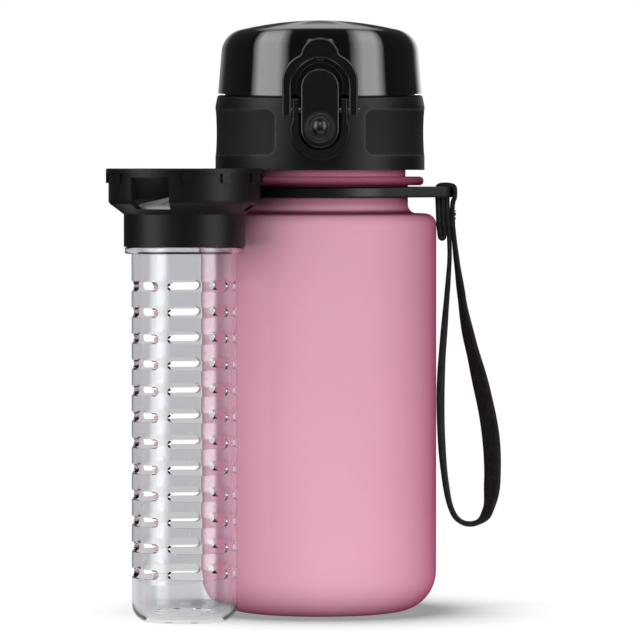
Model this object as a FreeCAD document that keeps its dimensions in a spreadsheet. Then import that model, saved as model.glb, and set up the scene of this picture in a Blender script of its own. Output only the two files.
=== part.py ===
import FreeCAD, Part
import math
import os
import re
import Sketcher

Vector = FreeCAD.Vector

# Driving dimensions, in millimetres and degrees. Heights are measured from the floor.
sizes = {
    # bottle
    "body_radius": 33.6,
    "body_wall": 1.9,
    "base_thickness": 2.6,
    "base_round": 11.6,
    "base_groove_margin": 3.6,
    "base_groove_width": 2.4,
    "base_groove_depth": 0.6,
    "shoulder_height": 114.9,
    "shoulder_step": 8.9,
    "shoulder_round": 3.4,
    "neck_step": 0.7,
    "neck_rise": 8.1,
    "neck_fillet": 2.6,
    "collar_thickness": 2.5,
    "collar_reach": 4.5,
    "collar_round": 1.1,
    "finish_rise": 15.5,
    "finish_wall": 2.3,
    "rim_round": 0.5,
    "mouth_step": 4.3,
    "mouth_ledge": 0.7,
    "mouth_wall": 2.9,
    # strap
    "ring_clearance": 0.35,
    "ring_thickness": 1.9,
    "ring_depth": 3.1,
    "ring_gap": 0.4,
    "ring_overhang": 4.7,
    "ring_tip_radius": 4.0,
    "ring_round": 0.5,
    "strap_width": 6.0,
    "strap_thickness": 1.1,
    "eye_radius": 2.55,
    "eye_inset": 1.6,
    "head_end_step": 0.7,
    "head_end_drop": 11.05,
    "head_end_radius": 2.3,
    "strap_a_out": 36.6,
    "strap_a_up": 110.2,
    "strap_b_out": 36.7,
    "strap_b_up": 98.0,
    "strap_c_out": 36.1,
    "strap_c_up": 84.0,
    "strap_d_out": 34.8,
    "strap_d_up": 67.0,
    "strap_e_out": 34.9,
    "strap_e_up": 52.0,
    "strap_f_out": 35.9,
    "strap_f_up": 39.0,
    "strap_g_out": 37.8,
    "strap_g_up": 28.6,
    "strap_h_out": 41.1,
    "strap_h_up": 25.0,
    "strap_i_out": 45.7,
    "strap_i_up": 25.0,
    "strap_j_out": 49.0,
    "strap_j_up": 28.6,
    "strap_k_out": 50.1,
    "strap_k_up": 38.5,
    "strap_l_out": 49.5,
    "strap_l_up": 52.0,
    "strap_m_out": 46.1,
    "strap_m_up": 67.5,
    "strap_n_out": 42.1,
    "strap_n_up": 82.5,
    "strap_o_out": 39.6,
    "strap_o_up": 97.0,
    "strap_p_out": 38.3,
    "strap_p_up": 110.2,
    # lid
    "lid_lift": 1.9,
    "lid_taper": 0.7,
    "lid_top_round": 0.9,
    "lid_slope": 3.3,
    "lid_wall": 2.2,
    "deck_sunk": 1.5,
    "deck_thickness": 2.0,
    "liner_inset": 1.2,
    "liner_thickness": 2.0,
    "liner_wall": 2.2,
    "liner_gap": 0.2,
    "thread_gap": 0.9,
    "grip_margin_low": 4.2,
    "grip_margin_high": 4.4,
    "grip_margin_front": 1.7,
    "grip_lip": 0.1,
    "grip_hollow": 0.26,
    "grip_round": 2.6,
    "gasket_lap": 0.5,
    "gasket_play": 0.3,
    "gasket_gap": 0.1,
    "gasket_thickness": 2.45,
    "gasket_seat_gap": 0.05,
    "gasket_round": 0.5,
    "spout_forward": 6.0,
    "spout_bore": 7.0,
    "spout_wall": 2.4,
    "spout_taper": 0.5,
    "spout_height": 12.9,
    "spout_flange_reach": 3.0,
    "spout_flange_thickness": 1.2,
    "spout_round": 0.7,
    "spout_hole_gap": 0.1,
    # flip cap
    "seam_gap": 0.5,
    "seam_dip": 1.25,
    "seam_blend": 8.0,
    "cap_draft": 1.5,
    "dome_rise": 4.0,
    "cap_round": 7.0,
    "cap_wall": 1.6,
    "cap_crown_wall": 3.3,
    "cap_inner_slope": 5.35,
    "cap_inner_drop": 6.0,
    "cap_liner_gap": 0.3,
    "cap_liner_wall": 1.5,
    "cap_liner_plate": 1.5,
    "cap_liner_step": 1.1,
    "cap_liner_bend": 6.1,
    "seal_margin": 2.1,
    "seal_seat_wall": 1.4,
    "seal_seat_lift": 1.1,
    "seal_thickness": 3.4,
    "seal_gap": 0.1,
    "seal_pad": 1.7,
    "seal_plug_play": 1.8,
    "seal_plug_depth": 0.8,
    "arch_step": 0.05,
    "arch_band": 1.5,
    "arch_headroom": 3.1,
    "arch_set_back": 1.4,
    "arch_depth": 1.2,
    "arch_body": 4.4,
    "arch_gap": 0.15,
    "arch_round": 0.5,
    # hinge
    "hinge_overhang": 2.0,
    "hinge_rise": 0.25,
    "hinge_pin_radius": 1.0,
    "hinge_fit": 0.06,
    "knuckle_radius": 2.3,
    "knuckle_inner": 3.4,
    "knuckle_outer": 7.0,
    "ear_gap": 0.3,
    "ear_width": 3.2,
    "ear_root_inset": 1.2,
    "ear_root_drop": 4.1,
    "ear_root_radius": 1.9,
    "web_root_inset": 2.5,
    "web_root_rise": 3.8,
    "web_root_radius": 1.5,
    "web_window_rise": 6.4,
    "hinge_pin_stub": 0.3,
    "spring_wire": 0.6,
    "spring_radius": 1.72,
    "spring_pitch": 1.1,
    "spring_low_leg": 1.7,
    "spring_high_leg": 2.45,
    # latch
    "boss_wall": 1.85,
    "boss_flare": 0.7,
    "boss_flare_length": 2.2,
    "boss_side": 1.6,
    "boss_drop": 7.8,
    "boss_proud": 3.4,
    "boss_sunk": 1.7,
    "boss_round": 0.7,
    "pocket_gap": 0.6,
    "pocket_depth": 4.0,
    "latch_pin_drop": 4.8,
    "latch_pin_inset": 1.2,
    "latch_pin_radius": 0.8,
    "latch_pin_stub": 0.6,
    "latch_fit": 0.06,
    "button_half": 5.45,
    "button_margin": 3.5,
    "button_reach": 11.8,
    "button_proud": 0.4,
    "button_thickness": 2.6,
    "button_round": 0.6,
    "dimple_rise": 0.55,
    "dimple_outer": 4.25,
    "dimple_ring": 3.35,
    "dimple_groove": 0.45,
    "dimple_depth": 0.4,
    "dome_base": 2.45,
    "dome_proud": 1.7,
    "dome_root": 0.3,
    "tooth_half": 2.2,
    "tooth_reach": 7.9,
    "tooth_height": 1.4,
    "tooth_depth": 1.0,
    "channel_play": 0.4,
    "channel_headroom": 0.8,
    "channel_depth": 1.2,
    "catch_gap": 0.3,
    "catch_height": 1.3,
    "catch_proud": 0.4,
    "return_wire": 0.5,
    "return_radius": 1.45,
    "return_play": 0.4,
    "return_seat_button": 1.2,
    "return_seat_boss": 0.8,
    "bail_gap": 0.3,
    "bail_arm": 2.5,
    "bail_foot_radius": 1.7,
    "bail_foot_clear": 1.0,
    "bail_shoulder_rise": 8.0,
    "bail_neck_half": 5.45,
    "bail_bow": 0.7,
    "bail_tab": 4.9,
    "bail_thickness": 2.4,
    "bail_round": 0.5,
    "bail_neck_round": 1.5,
    "bail_nub_half": 1.1,
    "bail_nub_drop": 0.8,
    "bail_nub_inset": 0.7,
    # infuser
    "infuser_lap": 13.8,
    "infuser_front_gap": 14.9,
    "tube_radius": 14.9,
    "tube_wall": 1.3,
    "tube_floor": 1.8,
    "tube_round": 5.0,
    "infuser_floor_gap": 7.75,
    "tube_lip_reach": 1.9,
    "tube_lip_thickness": 1.9,
    "tube_lip_round": 0.5,
    "spigot_step": 0.6,
    "spigot_height": 7.4,
    "slot_first": 14.0,
    "slot_margin": 9.11,
    "slot_opening": 2.85,
    "slot_half": 8.65,
    "drain_margin": 6.1,
    "drain_length": 3.2,
    "drain_half": 1.0,
    "joint_gap": 0.05,
    "joint_clearance": 0.15,
    "drop_in_gap": 0.3,
    "head_wall": 1.4,
    "head_flange_thickness": 1.5,
    "head_height": 9.7,
    "head_top_round": 0.4,
    "head_cone_rise": 3.2,
    "head_corner_round": 1.6,
    "collar_wall": 1.45,
    "shelf_gap": 1.0,
    "shelf_thickness": 1.8,
    "shelf_step": 0.8,
    "shelf_lap": 0.6,
    "shelf_play": 0.2,
    "lug_half": 1.25,
    "lug_drop": 4.1,
    "lug_sunk": 0.6,
    "window_margin": 1.5,
    "window_drop": 2.5,
    "window_clear": 0.3,
    "window_overrun": 1.9,
    "weep_margin": 0.9,
    "weep_height": 1.6,
    "strainer_step": 0.55,
    "strainer_rim": 1.0,
    "strainer_rise": 4.8,
    "strainer_thickness": 1.2,
    "sieve_inner": 3.4,
    "sieve_margin": 2.6,
    "sieve_half": 0.75,
    # angles and counts
    "bail_lean": 5.0,
    "infuser_turn": -116.5,
    "slot_turn": 2.4,
    "slot_levels": 12,
    "slots_per_level": 4,
    "drains": 8,
    "window_angle": 32.7,
    "lug_pitch": 30.0,
    "weep_angle": 9.0,
    "weep_turn": 12.0,
    "weep_side": 108.0,
    "sieve_slots": 14,
    "return_turns": 3,
    # how near an edge must lie to the place it is looked for
    "edge_match": 0.02,
}

document = FreeCAD.newDocument("InfuserBottle")
sheet = document.addObject("Spreadsheet::Sheet", "Sizes")
for row, (name, number) in enumerate(sizes.items(), 1):
    sheet.set(f"A{row}", name)
    sheet.set(f"B{row}", str(number))
    sheet.setAlias(f"B{row}", name)
document.recompute()

# Sizes that follow from the driving ones.
derived = {
    # bottle
    "body_inner": "body_radius - body_wall",
    "base_groove_outer": "body_radius - base_round - base_groove_margin",
    "base_groove_radius": "base_groove_outer - base_groove_width",
    "finish_radius": "body_radius - shoulder_step",
    "neck_radius": "finish_radius + neck_step",
    "mouth_radius": "finish_radius - finish_wall",
    "bore_radius": "mouth_radius - mouth_ledge",
    "collar_radius": "neck_radius + collar_reach",
    "collar_bottom": "shoulder_height + neck_rise",
    "collar_top": "collar_bottom + collar_thickness",
    "rim_height": "collar_top + finish_rise",
    "ledge_height": "rim_height - mouth_step",
    # strap
    "ring_inner": "neck_radius + ring_clearance",
    "ring_outer": "ring_inner + ring_thickness",
    "ring_high": "collar_bottom - ring_gap",
    "ring_low": "ring_high - ring_depth",
    "ring_mid": "ring_high - ring_depth / 2",
    "ring_reach": "body_radius + ring_overhang",
    "ring_tip_outer": "ring_tip_radius + ring_thickness",
    "ring_tip_out": "ring_reach - ring_tip_outer",
    "eye_out": "ring_reach - eye_inset",
    "head_end_out": "eye_out + head_end_step",
    "head_end_up": "ring_mid - head_end_drop",
    # lid, from the bottle's rim upwards and its thread outwards
    "gasket_low": "rim_height + gasket_gap",
    "gasket_high": "gasket_low + gasket_thickness",
    "gasket_inner": "mouth_radius - gasket_lap",
    "gasket_outer": "liner_inner - gasket_play",
    "liner_inner": "finish_radius + thread_gap",
    "liner_outer": "liner_inner + liner_wall",
    "liner_plate_low": "gasket_high + gasket_seat_gap",
    "liner_bottom": "lid_bottom + liner_inset",
    "deck_bottom": "liner_plate_low + liner_thickness",
    "deck_top": "deck_bottom + deck_thickness",
    "lid_bottom": "collar_top + lid_lift",
    "lid_top": "deck_top + deck_sunk",
    "lid_shoulder": "lid_top - lid_slope",
    "lid_inner": "liner_outer + liner_gap",
    "lid_radius": "lid_inner + lid_wall",
    "lid_top_radius": "lid_radius - lid_taper",
    "grip_low": "lid_bottom + grip_margin_low",
    "grip_high": "lid_top - grip_margin_high",
    "grip_front": "bail_half + grip_margin_front",
    "grip_rim": "lid_radius - grip_lip",
    "grip_arc": "((grip_high - grip_low) ^ 2 / 4 + grip_hollow ^ 2) / (2 * grip_hollow)",
    "spout_root": "spout_bore + spout_wall",
    "spout_rim": "spout_root - spout_taper",
    "spout_top": "deck_top + spout_height",
    "spout_flange": "spout_root + spout_flange_reach",
    "spout_hole": "spout_root + spout_hole_gap",
    # flip cap, built round the seal on the spout
    "seal_low": "spout_top + seal_gap",
    "seal_top": "seal_low + seal_thickness",
    "seal_radius": "spout_rim + seal_margin",
    "seal_seat_radius": "seal_radius + seal_seat_wall",
    "seal_seat_low": "spout_top + seal_seat_lift",
    "seal_plug_radius": "spout_bore - seal_plug_play",
    "cap_foot": "lid_top + seam_gap",
    "seam_run": "cos(atan(seam_dip / lid_radius))",
    "seam_rise": "sin(atan(seam_dip / lid_radius))",
    "seam_arc": "seam_blend / tan(atan(seam_dip / lid_radius) / 2)",
    "cap_skirt": "cap_foot - seam_dip",
    "cap_foot_radius": "lid_top_radius",
    "cap_crown_radius": "cap_foot_radius - cap_draft",
    "cap_liner_under": "seal_top + seal_pad",
    "cap_ceiling": "cap_liner_under + cap_liner_plate",
    "cap_top": "cap_ceiling + cap_crown_wall",
    "cap_edge": "cap_top - dome_rise",
    "dome_radius": "(cap_crown_radius ^ 2 + dome_rise ^ 2) / (2 * dome_rise)",
    "cap_foot_inner": "cap_foot_radius - cap_wall",
    "cap_crown_inner": "cap_crown_radius - cap_wall",
    "cap_inner_flat": "cap_crown_inner - cap_inner_slope",
    "cap_inner_corner": "cap_ceiling - cap_inner_drop",
    "cap_liner_foot": "cap_foot_inner - cap_liner_gap",
    "cap_liner_crown": "cap_crown_inner - cap_liner_gap * 2",
    "cap_liner_radius": "cap_inner_flat - cap_liner_step",
    "cap_liner_knee": "cap_foot + cap_liner_bend",
    "arch_half": "boss_half + arch_step",
    "arch_inner": "arch_half - arch_band",
    "arch_top": "button_high + arch_headroom",
    "arch_front": "boss_front - arch_set_back",
    "arch_floor": "arch_front - arch_depth",
    "arch_root": "arch_floor - arch_body",
    "channel_half": "tooth_half + channel_play",
    "channel_top": "tooth_high + channel_headroom",
    "catch_high": "tooth_low - catch_gap",
    "catch_low": "catch_high - catch_height",
    # hinge
    "hinge_back": "lid_radius + hinge_overhang",
    "hinge_height": "lid_top + hinge_rise",
    "ear_inner": "knuckle_outer + ear_gap",
    "ear_outer": "ear_inner + ear_width",
    "ear_root_back": "lid_radius - ear_root_inset",
    "ear_root_height": "lid_top - ear_root_drop",
    "web_root_back": "cap_foot_radius - web_root_inset",
    "web_root_height": "cap_foot + web_root_rise",
    "web_window_top": "cap_foot + web_window_rise",
    # latch, from its pin
    "latch_pin_height": "lid_top - latch_pin_drop",
    "latch_pin_front": "boss_front - latch_pin_inset",
    "latch_pin_half": "bail_half + latch_pin_stub / 2",
    "pocket_half": "button_half + pocket_gap",
    "pocket_floor": "boss_front - pocket_depth",
    "boss_half": "pocket_half + boss_wall",
    "boss_flare_half": "boss_half + boss_flare",
    "boss_flare_high": "bail_foot - bail_foot_clear",
    "boss_flare_low": "boss_flare_high - boss_flare_length",
    "boss_bottom": "boss_flare_low - boss_side - boss_drop",
    "boss_front": "lid_radius + boss_proud",
    "boss_root": "lid_radius - boss_sunk",
    "boss_arc": "(boss_drop ^ 2 + boss_flare_half ^ 2) / (2 * boss_drop)",
    "button_low": "boss_bottom + button_margin",
    "button_high": "latch_pin_height + button_reach",
    "button_front": "boss_front + button_proud",
    "button_back": "button_front - button_thickness",
    "dome_arc": "(dome_base ^ 2 + dome_proud ^ 2) / (2 * dome_proud)",
    "dimple_height": "button_low + button_half + dimple_rise",
    "tooth_low": "latch_pin_height + tooth_reach",
    "tooth_high": "tooth_low + tooth_height",
    "return_seat_radius": "return_radius + return_wire / 2 + return_play",
    "return_seat_front": "button_back + return_seat_button",
    "return_seat_back": "pocket_floor - return_seat_boss",
    "return_pitch": "(return_seat_front - return_seat_back - return_wire) / return_turns",
    "bail_inner": "boss_half + bail_gap",
    "bail_half": "bail_inner + bail_arm",
    "bail_foot": "latch_pin_height - bail_foot_radius",
    "bail_shoulder_low": "latch_pin_height + bail_shoulder_rise",
    "bail_inner_top": "arch_top",
    "bail_neck_height": "bail_inner_top + bail_bow",
    "bail_run": "bail_half - bail_neck_half",
    "bail_rise": "bail_neck_height - bail_shoulder_low",
    "bail_shoulder_arc": "(bail_run ^ 2 + bail_rise ^ 2) / (2 * bail_run)",
    "bail_tab_arc": "(bail_tab ^ 2 + bail_neck_half ^ 2) / (2 * bail_tab)",
    # infuser, from the tube upwards and the bottle's mouth inwards
    "head_radius": "bore_radius - drop_in_gap",
    "head_flange_radius": "mouth_radius - drop_in_gap",
    "head_inner": "head_radius - head_wall",
    "infuser_left": "collar_radius + head_flange_radius - infuser_lap",
    "infuser_front": "head_flange_radius + infuser_front_gap",
    "tube_inner": "tube_radius - tube_wall",
    "tube_lip_radius": "tube_radius + tube_lip_reach",
    "infuser_hang": "ledge_height - base_thickness - infuser_floor_gap",
    "head_hang": "head_cone_rise + head_height - head_flange_thickness",
    "joint_height": "tube_lip_thickness + spigot_height + shelf_gap + shelf_step",
    "tube_lip_low": "infuser_hang - head_hang - joint_height",
    "tube_lip_high": "tube_lip_low + tube_lip_thickness",
    "spigot_radius": "tube_radius + spigot_step",
    "spigot_top": "tube_lip_high + spigot_height",
    "slot_pitch": "(tube_lip_low - slot_margin - slot_first) / (slot_levels - 1)",
    "drain_outer": "tube_radius - drain_margin",
    "drain_inner": "drain_outer - drain_length",
    "collar_inner": "spigot_radius + joint_clearance",
    "collar_outer": "collar_inner + collar_wall",
    "collar_low": "tube_lip_high + joint_gap",
    "shelf_low": "spigot_top + shelf_gap",
    "shelf_top": "shelf_low + shelf_thickness",
    "shelf_inner": "tube_inner + shelf_lap",
    "shelf_outer": "strainer_radius + shelf_play",
    "head_cone_low": "shelf_low + shelf_step",
    "head_cone_high": "head_cone_low + head_cone_rise",
    "head_top": "head_cone_high + head_height",
    "lug_root": "head_radius - lug_sunk",
    "window_low": "head_cone_low + window_margin",
    "window_high": "head_top - window_drop",
    "window_inner": "strainer_radius + window_clear",
    "window_outer": "head_flange_radius + window_overrun",
    "weep_low": "head_cone_low + weep_margin",
    "weep_high": "weep_low + weep_height",
    "strainer_radius": "collar_inner + strainer_step",
    "strainer_apex": "shelf_top + strainer_rise",
    "sieve_outer": "strainer_radius - sieve_margin",
}


def bound(text):
    """An expression on the sheet, from the names of sizes."""

    def word(match):
        name = match.group(0)
        if name in derived:
            return "(" + bound(derived[name]) + ")"
        return "Sizes." + name if name in sizes else name

    return re.sub(r"[a-z_]+", word, text)


def value(text):
    """The number that an expression comes to."""
    return float(sheet.evalExpression(bound(text)))


def new_body(label):
    body = document.addObject("PartDesign::Body", label)
    body.Label = label
    return body


def origin_part(body, role):
    return next(part for part in body.Origin.OriginFeatures if part.Role == role)


def new_sketch(body, plane, lift=None):
    """A sketch on an origin plane of its body, raised along the plane's normal."""
    sketch = body.newObject("Sketcher::SketchObject", body.Label + "_sketch")
    sketch.AttachmentSupport = [(origin_part(body, plane), "")]
    sketch.MapMode = "FlatFace"
    if lift:
        sketch.setExpression("AttachmentOffset.Base.z", bound(lift))
    return sketch


def pin(sketch, edge, point, across, up):
    """Holds a point of a sketch at two bound distances from its origin."""
    for kind, text, axis in (("DistanceX", across, -2), ("DistanceY", up, -1)):
        number = value(text)
        if text == "0":
            sketch.addConstraint(Sketcher.Constraint("PointOnObject", edge, point, axis))
            continue
        index = sketch.addConstraint(Sketcher.Constraint(kind, -1, 1, edge, point, number))
        sketch.setExpression(f"Constraints[{index}]", bound(text))


def hold_radius(sketch, edge, text):
    index = sketch.addConstraint(Sketcher.Constraint("Radius", edge, value(text)))
    sketch.setExpression(f"Constraints[{index}]", bound(text))


def arc_between(start, end, radius, side):
    """The shorter arc from start to end, turning left for side 1 and right for side -1."""
    chord = end - start
    across = Vector(-chord.y, chord.x, 0).normalize()
    rise = math.sqrt(max(0, radius**2 - (chord.Length / 2) ** 2))
    centre = (start + end) / 2 + across * rise * side
    first, last = (start, end) if side > 0 else (end, start)
    begin = math.atan2(first.y - centre.y, first.x - centre.x)
    finish = math.atan2(last.y - centre.y, last.x - centre.x)
    return Part.ArcOfCircle(Part.Circle(centre, Vector(0, 0, 1), radius), begin, finish)


def draw_loop(sketch, corners):
    """A closed outline. A corner is across, up and, where an arc leaves it, radius and side."""
    first = sketch.GeometryCount
    count = len(corners)
    points = [Vector(value(corner[0]), value(corner[1]), 0) for corner in corners]
    ends = []
    for index, corner in enumerate(corners):
        start, end = points[index], points[(index + 1) % count]
        if len(corner) == 2:
            sketch.addGeometry(Part.LineSegment(start, end))
            ends.append((1, 2))
        else:
            sketch.addGeometry(arc_between(start, end, value(corner[2]), corner[3]))
            ends.append((1, 2) if corner[3] > 0 else (2, 1))
    for index in range(count):
        after = (index + 1) % count
        join = (first + index, ends[index][1], first + after, ends[after][0])
        sketch.addConstraint(Sketcher.Constraint("Coincident", *join))
    for index, corner in enumerate(corners):
        pin(sketch, first + index, ends[index][0], corner[0], corner[1])
        if len(corner) > 2:
            hold_radius(sketch, first + index, corner[2])


def draw_circle(sketch, across, up, radius):
    centre = Vector(value(across), value(up), 0)
    edge = sketch.addGeometry(Part.Circle(centre, Vector(0, 0, 1), value(radius)))
    hold_radius(sketch, edge, radius)
    pin(sketch, edge, 3, across, up)


def draw_belt(sketch, one, two):
    """The outline of a belt round two circles, each given as across, up and radius."""
    first = sketch.GeometryCount
    centres = [Vector(value(circle[0]), value(circle[1]), 0) for circle in (one, two)]
    radii = [value(circle[2]) for circle in (one, two)]
    way = centres[1] - centres[0]
    base = math.atan2(way.y, way.x)
    spread = math.acos((radii[0] - radii[1]) / way.Length)

    def touch(which, angle):
        return centres[which] + Vector(math.cos(angle), math.sin(angle), 0) * radii[which]

    rings = [Part.Circle(centres[n], Vector(0, 0, 1), radii[n]) for n in (0, 1)]
    sketch.addGeometry(Part.ArcOfCircle(rings[1], base - spread, base + spread))
    sketch.addGeometry(Part.LineSegment(touch(1, base + spread), touch(0, base + spread)))
    sketch.addGeometry(Part.ArcOfCircle(rings[0], base + spread, base + 2 * math.pi - spread))
    sketch.addGeometry(Part.LineSegment(touch(0, base - spread), touch(1, base - spread)))
    for index in range(4):
        join = (first + index, 2, first + (index + 1) % 4, 1)
        sketch.addConstraint(Sketcher.Constraint("Tangent", *join))
    for edge, circle in ((first, two), (first + 2, one)):
        pin(sketch, edge, 3, circle[0], circle[1])
        hold_radius(sketch, edge, circle[2])


def draw_arch(sketch, half, low, top):
    """A round-topped doorway centred on the sketch's upright axis."""
    first = sketch.GeometryCount
    wide, foot, crown = value(half), value(low), value(f"{top} - {half}")
    circle = Part.Circle(Vector(0, crown, 0), Vector(0, 0, 1), wide)
    sketch.addGeometry(Part.LineSegment(Vector(-wide, foot, 0), Vector(wide, foot, 0)))
    sketch.addGeometry(Part.LineSegment(Vector(wide, foot, 0), Vector(wide, crown, 0)))
    sketch.addGeometry(Part.ArcOfCircle(circle, 0, math.pi))
    sketch.addGeometry(Part.LineSegment(Vector(-wide, crown, 0), Vector(-wide, foot, 0)))
    sketch.addConstraint(Sketcher.Constraint("Coincident", first, 2, first + 1, 1))
    sketch.addConstraint(Sketcher.Constraint("Coincident", first + 3, 2, first, 1))
    sketch.addConstraint(Sketcher.Constraint("Tangent", first + 1, 2, first + 2, 1))
    sketch.addConstraint(Sketcher.Constraint("Tangent", first + 2, 2, first + 3, 1))
    pin(sketch, first, 1, f"0 - {half}", low)
    pin(sketch, first, 2, half, low)
    pin(sketch, first + 2, 3, "0", f"{top} - {half}")
    hold_radius(sketch, first + 2, half)


def draw_box(sketch, left, right, low, high):
    draw_loop(sketch, [(left, low), (right, low), (right, high), (left, high)])


def finish(body, feature):
    body.Tip = feature
    document.recompute()
    if "Invalid" in feature.State or "Error" in feature.State or feature.Shape.isNull():
        raise RuntimeError(f"{feature.Label} of {body.Label} failed")
    return feature


def spin(body, sketch, kind="PartDesign::Revolution", angle="360"):
    """Revolves a sketch about the upright axis; a part turn is centred on the sketch."""
    feature = body.newObject(kind, body.Label + "_turned")
    feature.Profile = sketch
    feature.ReferenceAxis = (sketch, ["V_Axis"])
    feature.setExpression("Angle", bound(angle))
    feature.Midplane = angle != "360"
    return finish(body, feature)


def raise_pad(body, sketch, length, both=False):
    feature = body.newObject("PartDesign::Pad", body.Label + "_pad")
    feature.Profile = sketch
    feature.setExpression("Length", bound(length))
    feature.Midplane = both
    return finish(body, feature)


def cut_pocket(body, sketch, length, both=False):
    """Sinks a pocket against the sketch's normal, and stops if nothing came away."""
    before = body.Shape.Volume
    feature = body.newObject("PartDesign::Pocket", body.Label + "_pocket")
    feature.Profile = sketch
    feature.setExpression("Length", bound(length))
    feature.Midplane = both
    finish(body, feature)
    if body.Shape.Volume >= before:
        raise RuntimeError(f"a pocket of {body.Label} cuts nothing")
    return feature


def repeat_round(body, features, count, angle=None):
    pattern = body.newObject("PartDesign::PolarPattern", body.Label + "_round")
    pattern.Originals = features
    pattern.Axis = (origin_part(body, "Z_Axis"), [""])
    pattern.setExpression("Angle", bound(angle or "360"))
    pattern.setExpression("Occurrences", bound(count))
    return finish(body, pattern)


def mirror(body, features, plane):
    pattern = body.newObject("PartDesign::Mirrored", body.Label + "_mirrored")
    pattern.Originals = features
    pattern.MirrorPlane = (origin_part(body, plane), [""])
    return finish(body, pattern)


def round_edges(body, radius, chosen):
    """Rounds the edges of a body that a test picks out."""
    base = body.Tip
    names = [f"Edge{n}" for n, edge in enumerate(base.Shape.Edges, 1) if chosen(edge)]
    if not names:
        raise RuntimeError(f"no edge of {body.Label} to round")
    feature = body.newObject("PartDesign::Fillet", body.Label + "_round")
    feature.Base = (base, names)
    feature.setExpression("Radius", bound(radius))
    return finish(body, feature)


def ring_at(radius, height):
    """A test for the circle of one radius at one height."""
    near = value("edge_match")
    wide, up = value(radius), value(height)

    def chosen(edge):
        if edge.Degenerated:
            return False
        curve = edge.Curve
        if not isinstance(curve, Part.Circle) or abs(abs(curve.Axis.z) - 1) > near:
            return False
        return abs(curve.Radius - wide) < near and abs(curve.Center.z - up) < near

    return chosen


def flat_at(axis, place):
    """A test for edges that lie wholly in a plane across one axis."""
    near = value("edge_match")
    where = value(place)

    def chosen(edge):
        box = edge.BoundBox
        low, high = getattr(box, axis + "Min"), getattr(box, axis + "Max")
        return abs(low - where) < near and abs(high - where) < near

    return chosen


def post_at(across, up):
    """A test for the straight edges from front to back at one place and its mirror image."""
    near = value("edge_match")
    out, high = value(across), value(up)

    def chosen(edge):
        box = edge.BoundBox
        if max(box.XLength, box.ZLength) > near:
            return False
        return abs(abs(box.XMin) - out) < near and abs(box.ZMin - high) < near

    return chosen


def rod(label, radius, half, back, height):
    """A round pin across the lid, centred on its middle plane."""
    pin_solid = document.addObject("Part::Cylinder", label)
    pin_solid.Label = label
    pin_solid.setExpression("Radius", bound(radius))
    pin_solid.setExpression("Height", bound(f"2 * ({half})"))
    turn = FreeCAD.Rotation(Vector(0, 1, 0), 90)
    pin_solid.Placement = FreeCAD.Placement(Vector(0, 0, 0), turn)
    pin_solid.setExpression("Placement.Base.x", bound(f"0 - ({half})"))
    pin_solid.setExpression("Placement.Base.y", bound(back))
    pin_solid.setExpression("Placement.Base.z", bound(height))
    return pin_solid


def boolean(kind, label, base, tool):
    result = document.addObject(kind, label)
    result.Label = label
    result.Base = base
    result.Tool = tool
    document.recompute()
    return result


# Bottle: one turned moulding, from the base groove up to the stepped mouth.
bottle = new_body("bottle_shell")
sketch = new_sketch(bottle, "XZ_Plane")
draw_loop(
    sketch,
    [
        ("0", "0"),
        ("base_groove_radius", "0"),
        ("base_groove_radius", "base_groove_depth"),
        ("base_groove_outer", "base_groove_depth"),
        ("base_groove_outer", "0"),
        ("body_radius", "0"),
        ("body_radius", "shoulder_height"),
        ("neck_radius", "shoulder_height"),
        ("neck_radius", "collar_bottom"),
        ("collar_radius", "collar_bottom"),
        ("collar_radius", "collar_top"),
        ("finish_radius", "collar_top"),
        ("finish_radius", "rim_height"),
        ("mouth_radius", "rim_height"),
        ("mouth_radius", "ledge_height"),
        ("bore_radius", "ledge_height"),
        ("bore_radius", "shoulder_height - mouth_wall"),
        ("body_inner", "shoulder_height - mouth_wall"),
        ("body_inner", "base_thickness"),
        ("0", "base_thickness"),
    ],
)
spin(bottle, sketch)
round_edges(bottle, "base_round", ring_at("body_radius", "0"))
round_edges(bottle, "base_round - body_wall", ring_at("body_inner", "base_thickness"))
round_edges(bottle, "shoulder_round", ring_at("body_radius", "shoulder_height"))
round_edges(bottle, "neck_fillet", ring_at("neck_radius", "shoulder_height"))
round_edges(bottle, "shoulder_round", ring_at("body_inner", "shoulder_height - mouth_wall"))
round_edges(bottle, "collar_round", ring_at("collar_radius", "collar_bottom"))
round_edges(bottle, "collar_round", ring_at("collar_radius", "collar_top"))
round_edges(bottle, "rim_round", ring_at("finish_radius", "rim_height"))

# Strap ring: a band shaped like a belt round the neck and the small bar of the strap.
ring = new_body("strap_ring")
sketch = new_sketch(ring, "XY_Plane", "ring_low")
draw_belt(sketch, ("0", "0", "ring_outer"), ("ring_tip_out", "0", "ring_tip_outer"))
draw_belt(sketch, ("0", "0", "ring_inner"), ("ring_tip_out", "0", "ring_tip_radius"))
raise_pad(ring, sketch, "ring_depth")
round_edges(ring, "ring_round", flat_at("Z", "ring_low"))
round_edges(ring, "ring_round", flat_at("Z", "ring_high"))


def rounded_route(points):
    """Straight runs joined by arcs as large as the runs allow, with the radii of the arcs."""
    spare_share = 0.45
    edges, radii = [], []
    last = points[0]
    for before, corner, after in zip(points, points[1:], points[2:]):
        arrive = (corner - before).normalize()
        leave = (after - corner).normalize()
        half_turn = arrive.getAngle(leave) / 2
        setback = spare_share * min((corner - before).Length, (after - corner).Length)
        radii.append(setback / math.tan(half_turn))
        start, end = corner - arrive * setback, corner + leave * setback
        inward = (leave - arrive).normalize()
        middle = corner + inward * (radii[-1] / math.cos(half_turn) - radii[-1])
        edges.append(Part.makeLine(last, start))
        edges.append(Part.Arc(start, middle, end).toShape())
        last = end
    edges.append(Part.makeLine(last, points[-1]))
    return Part.Wire(edges), radii


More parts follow.
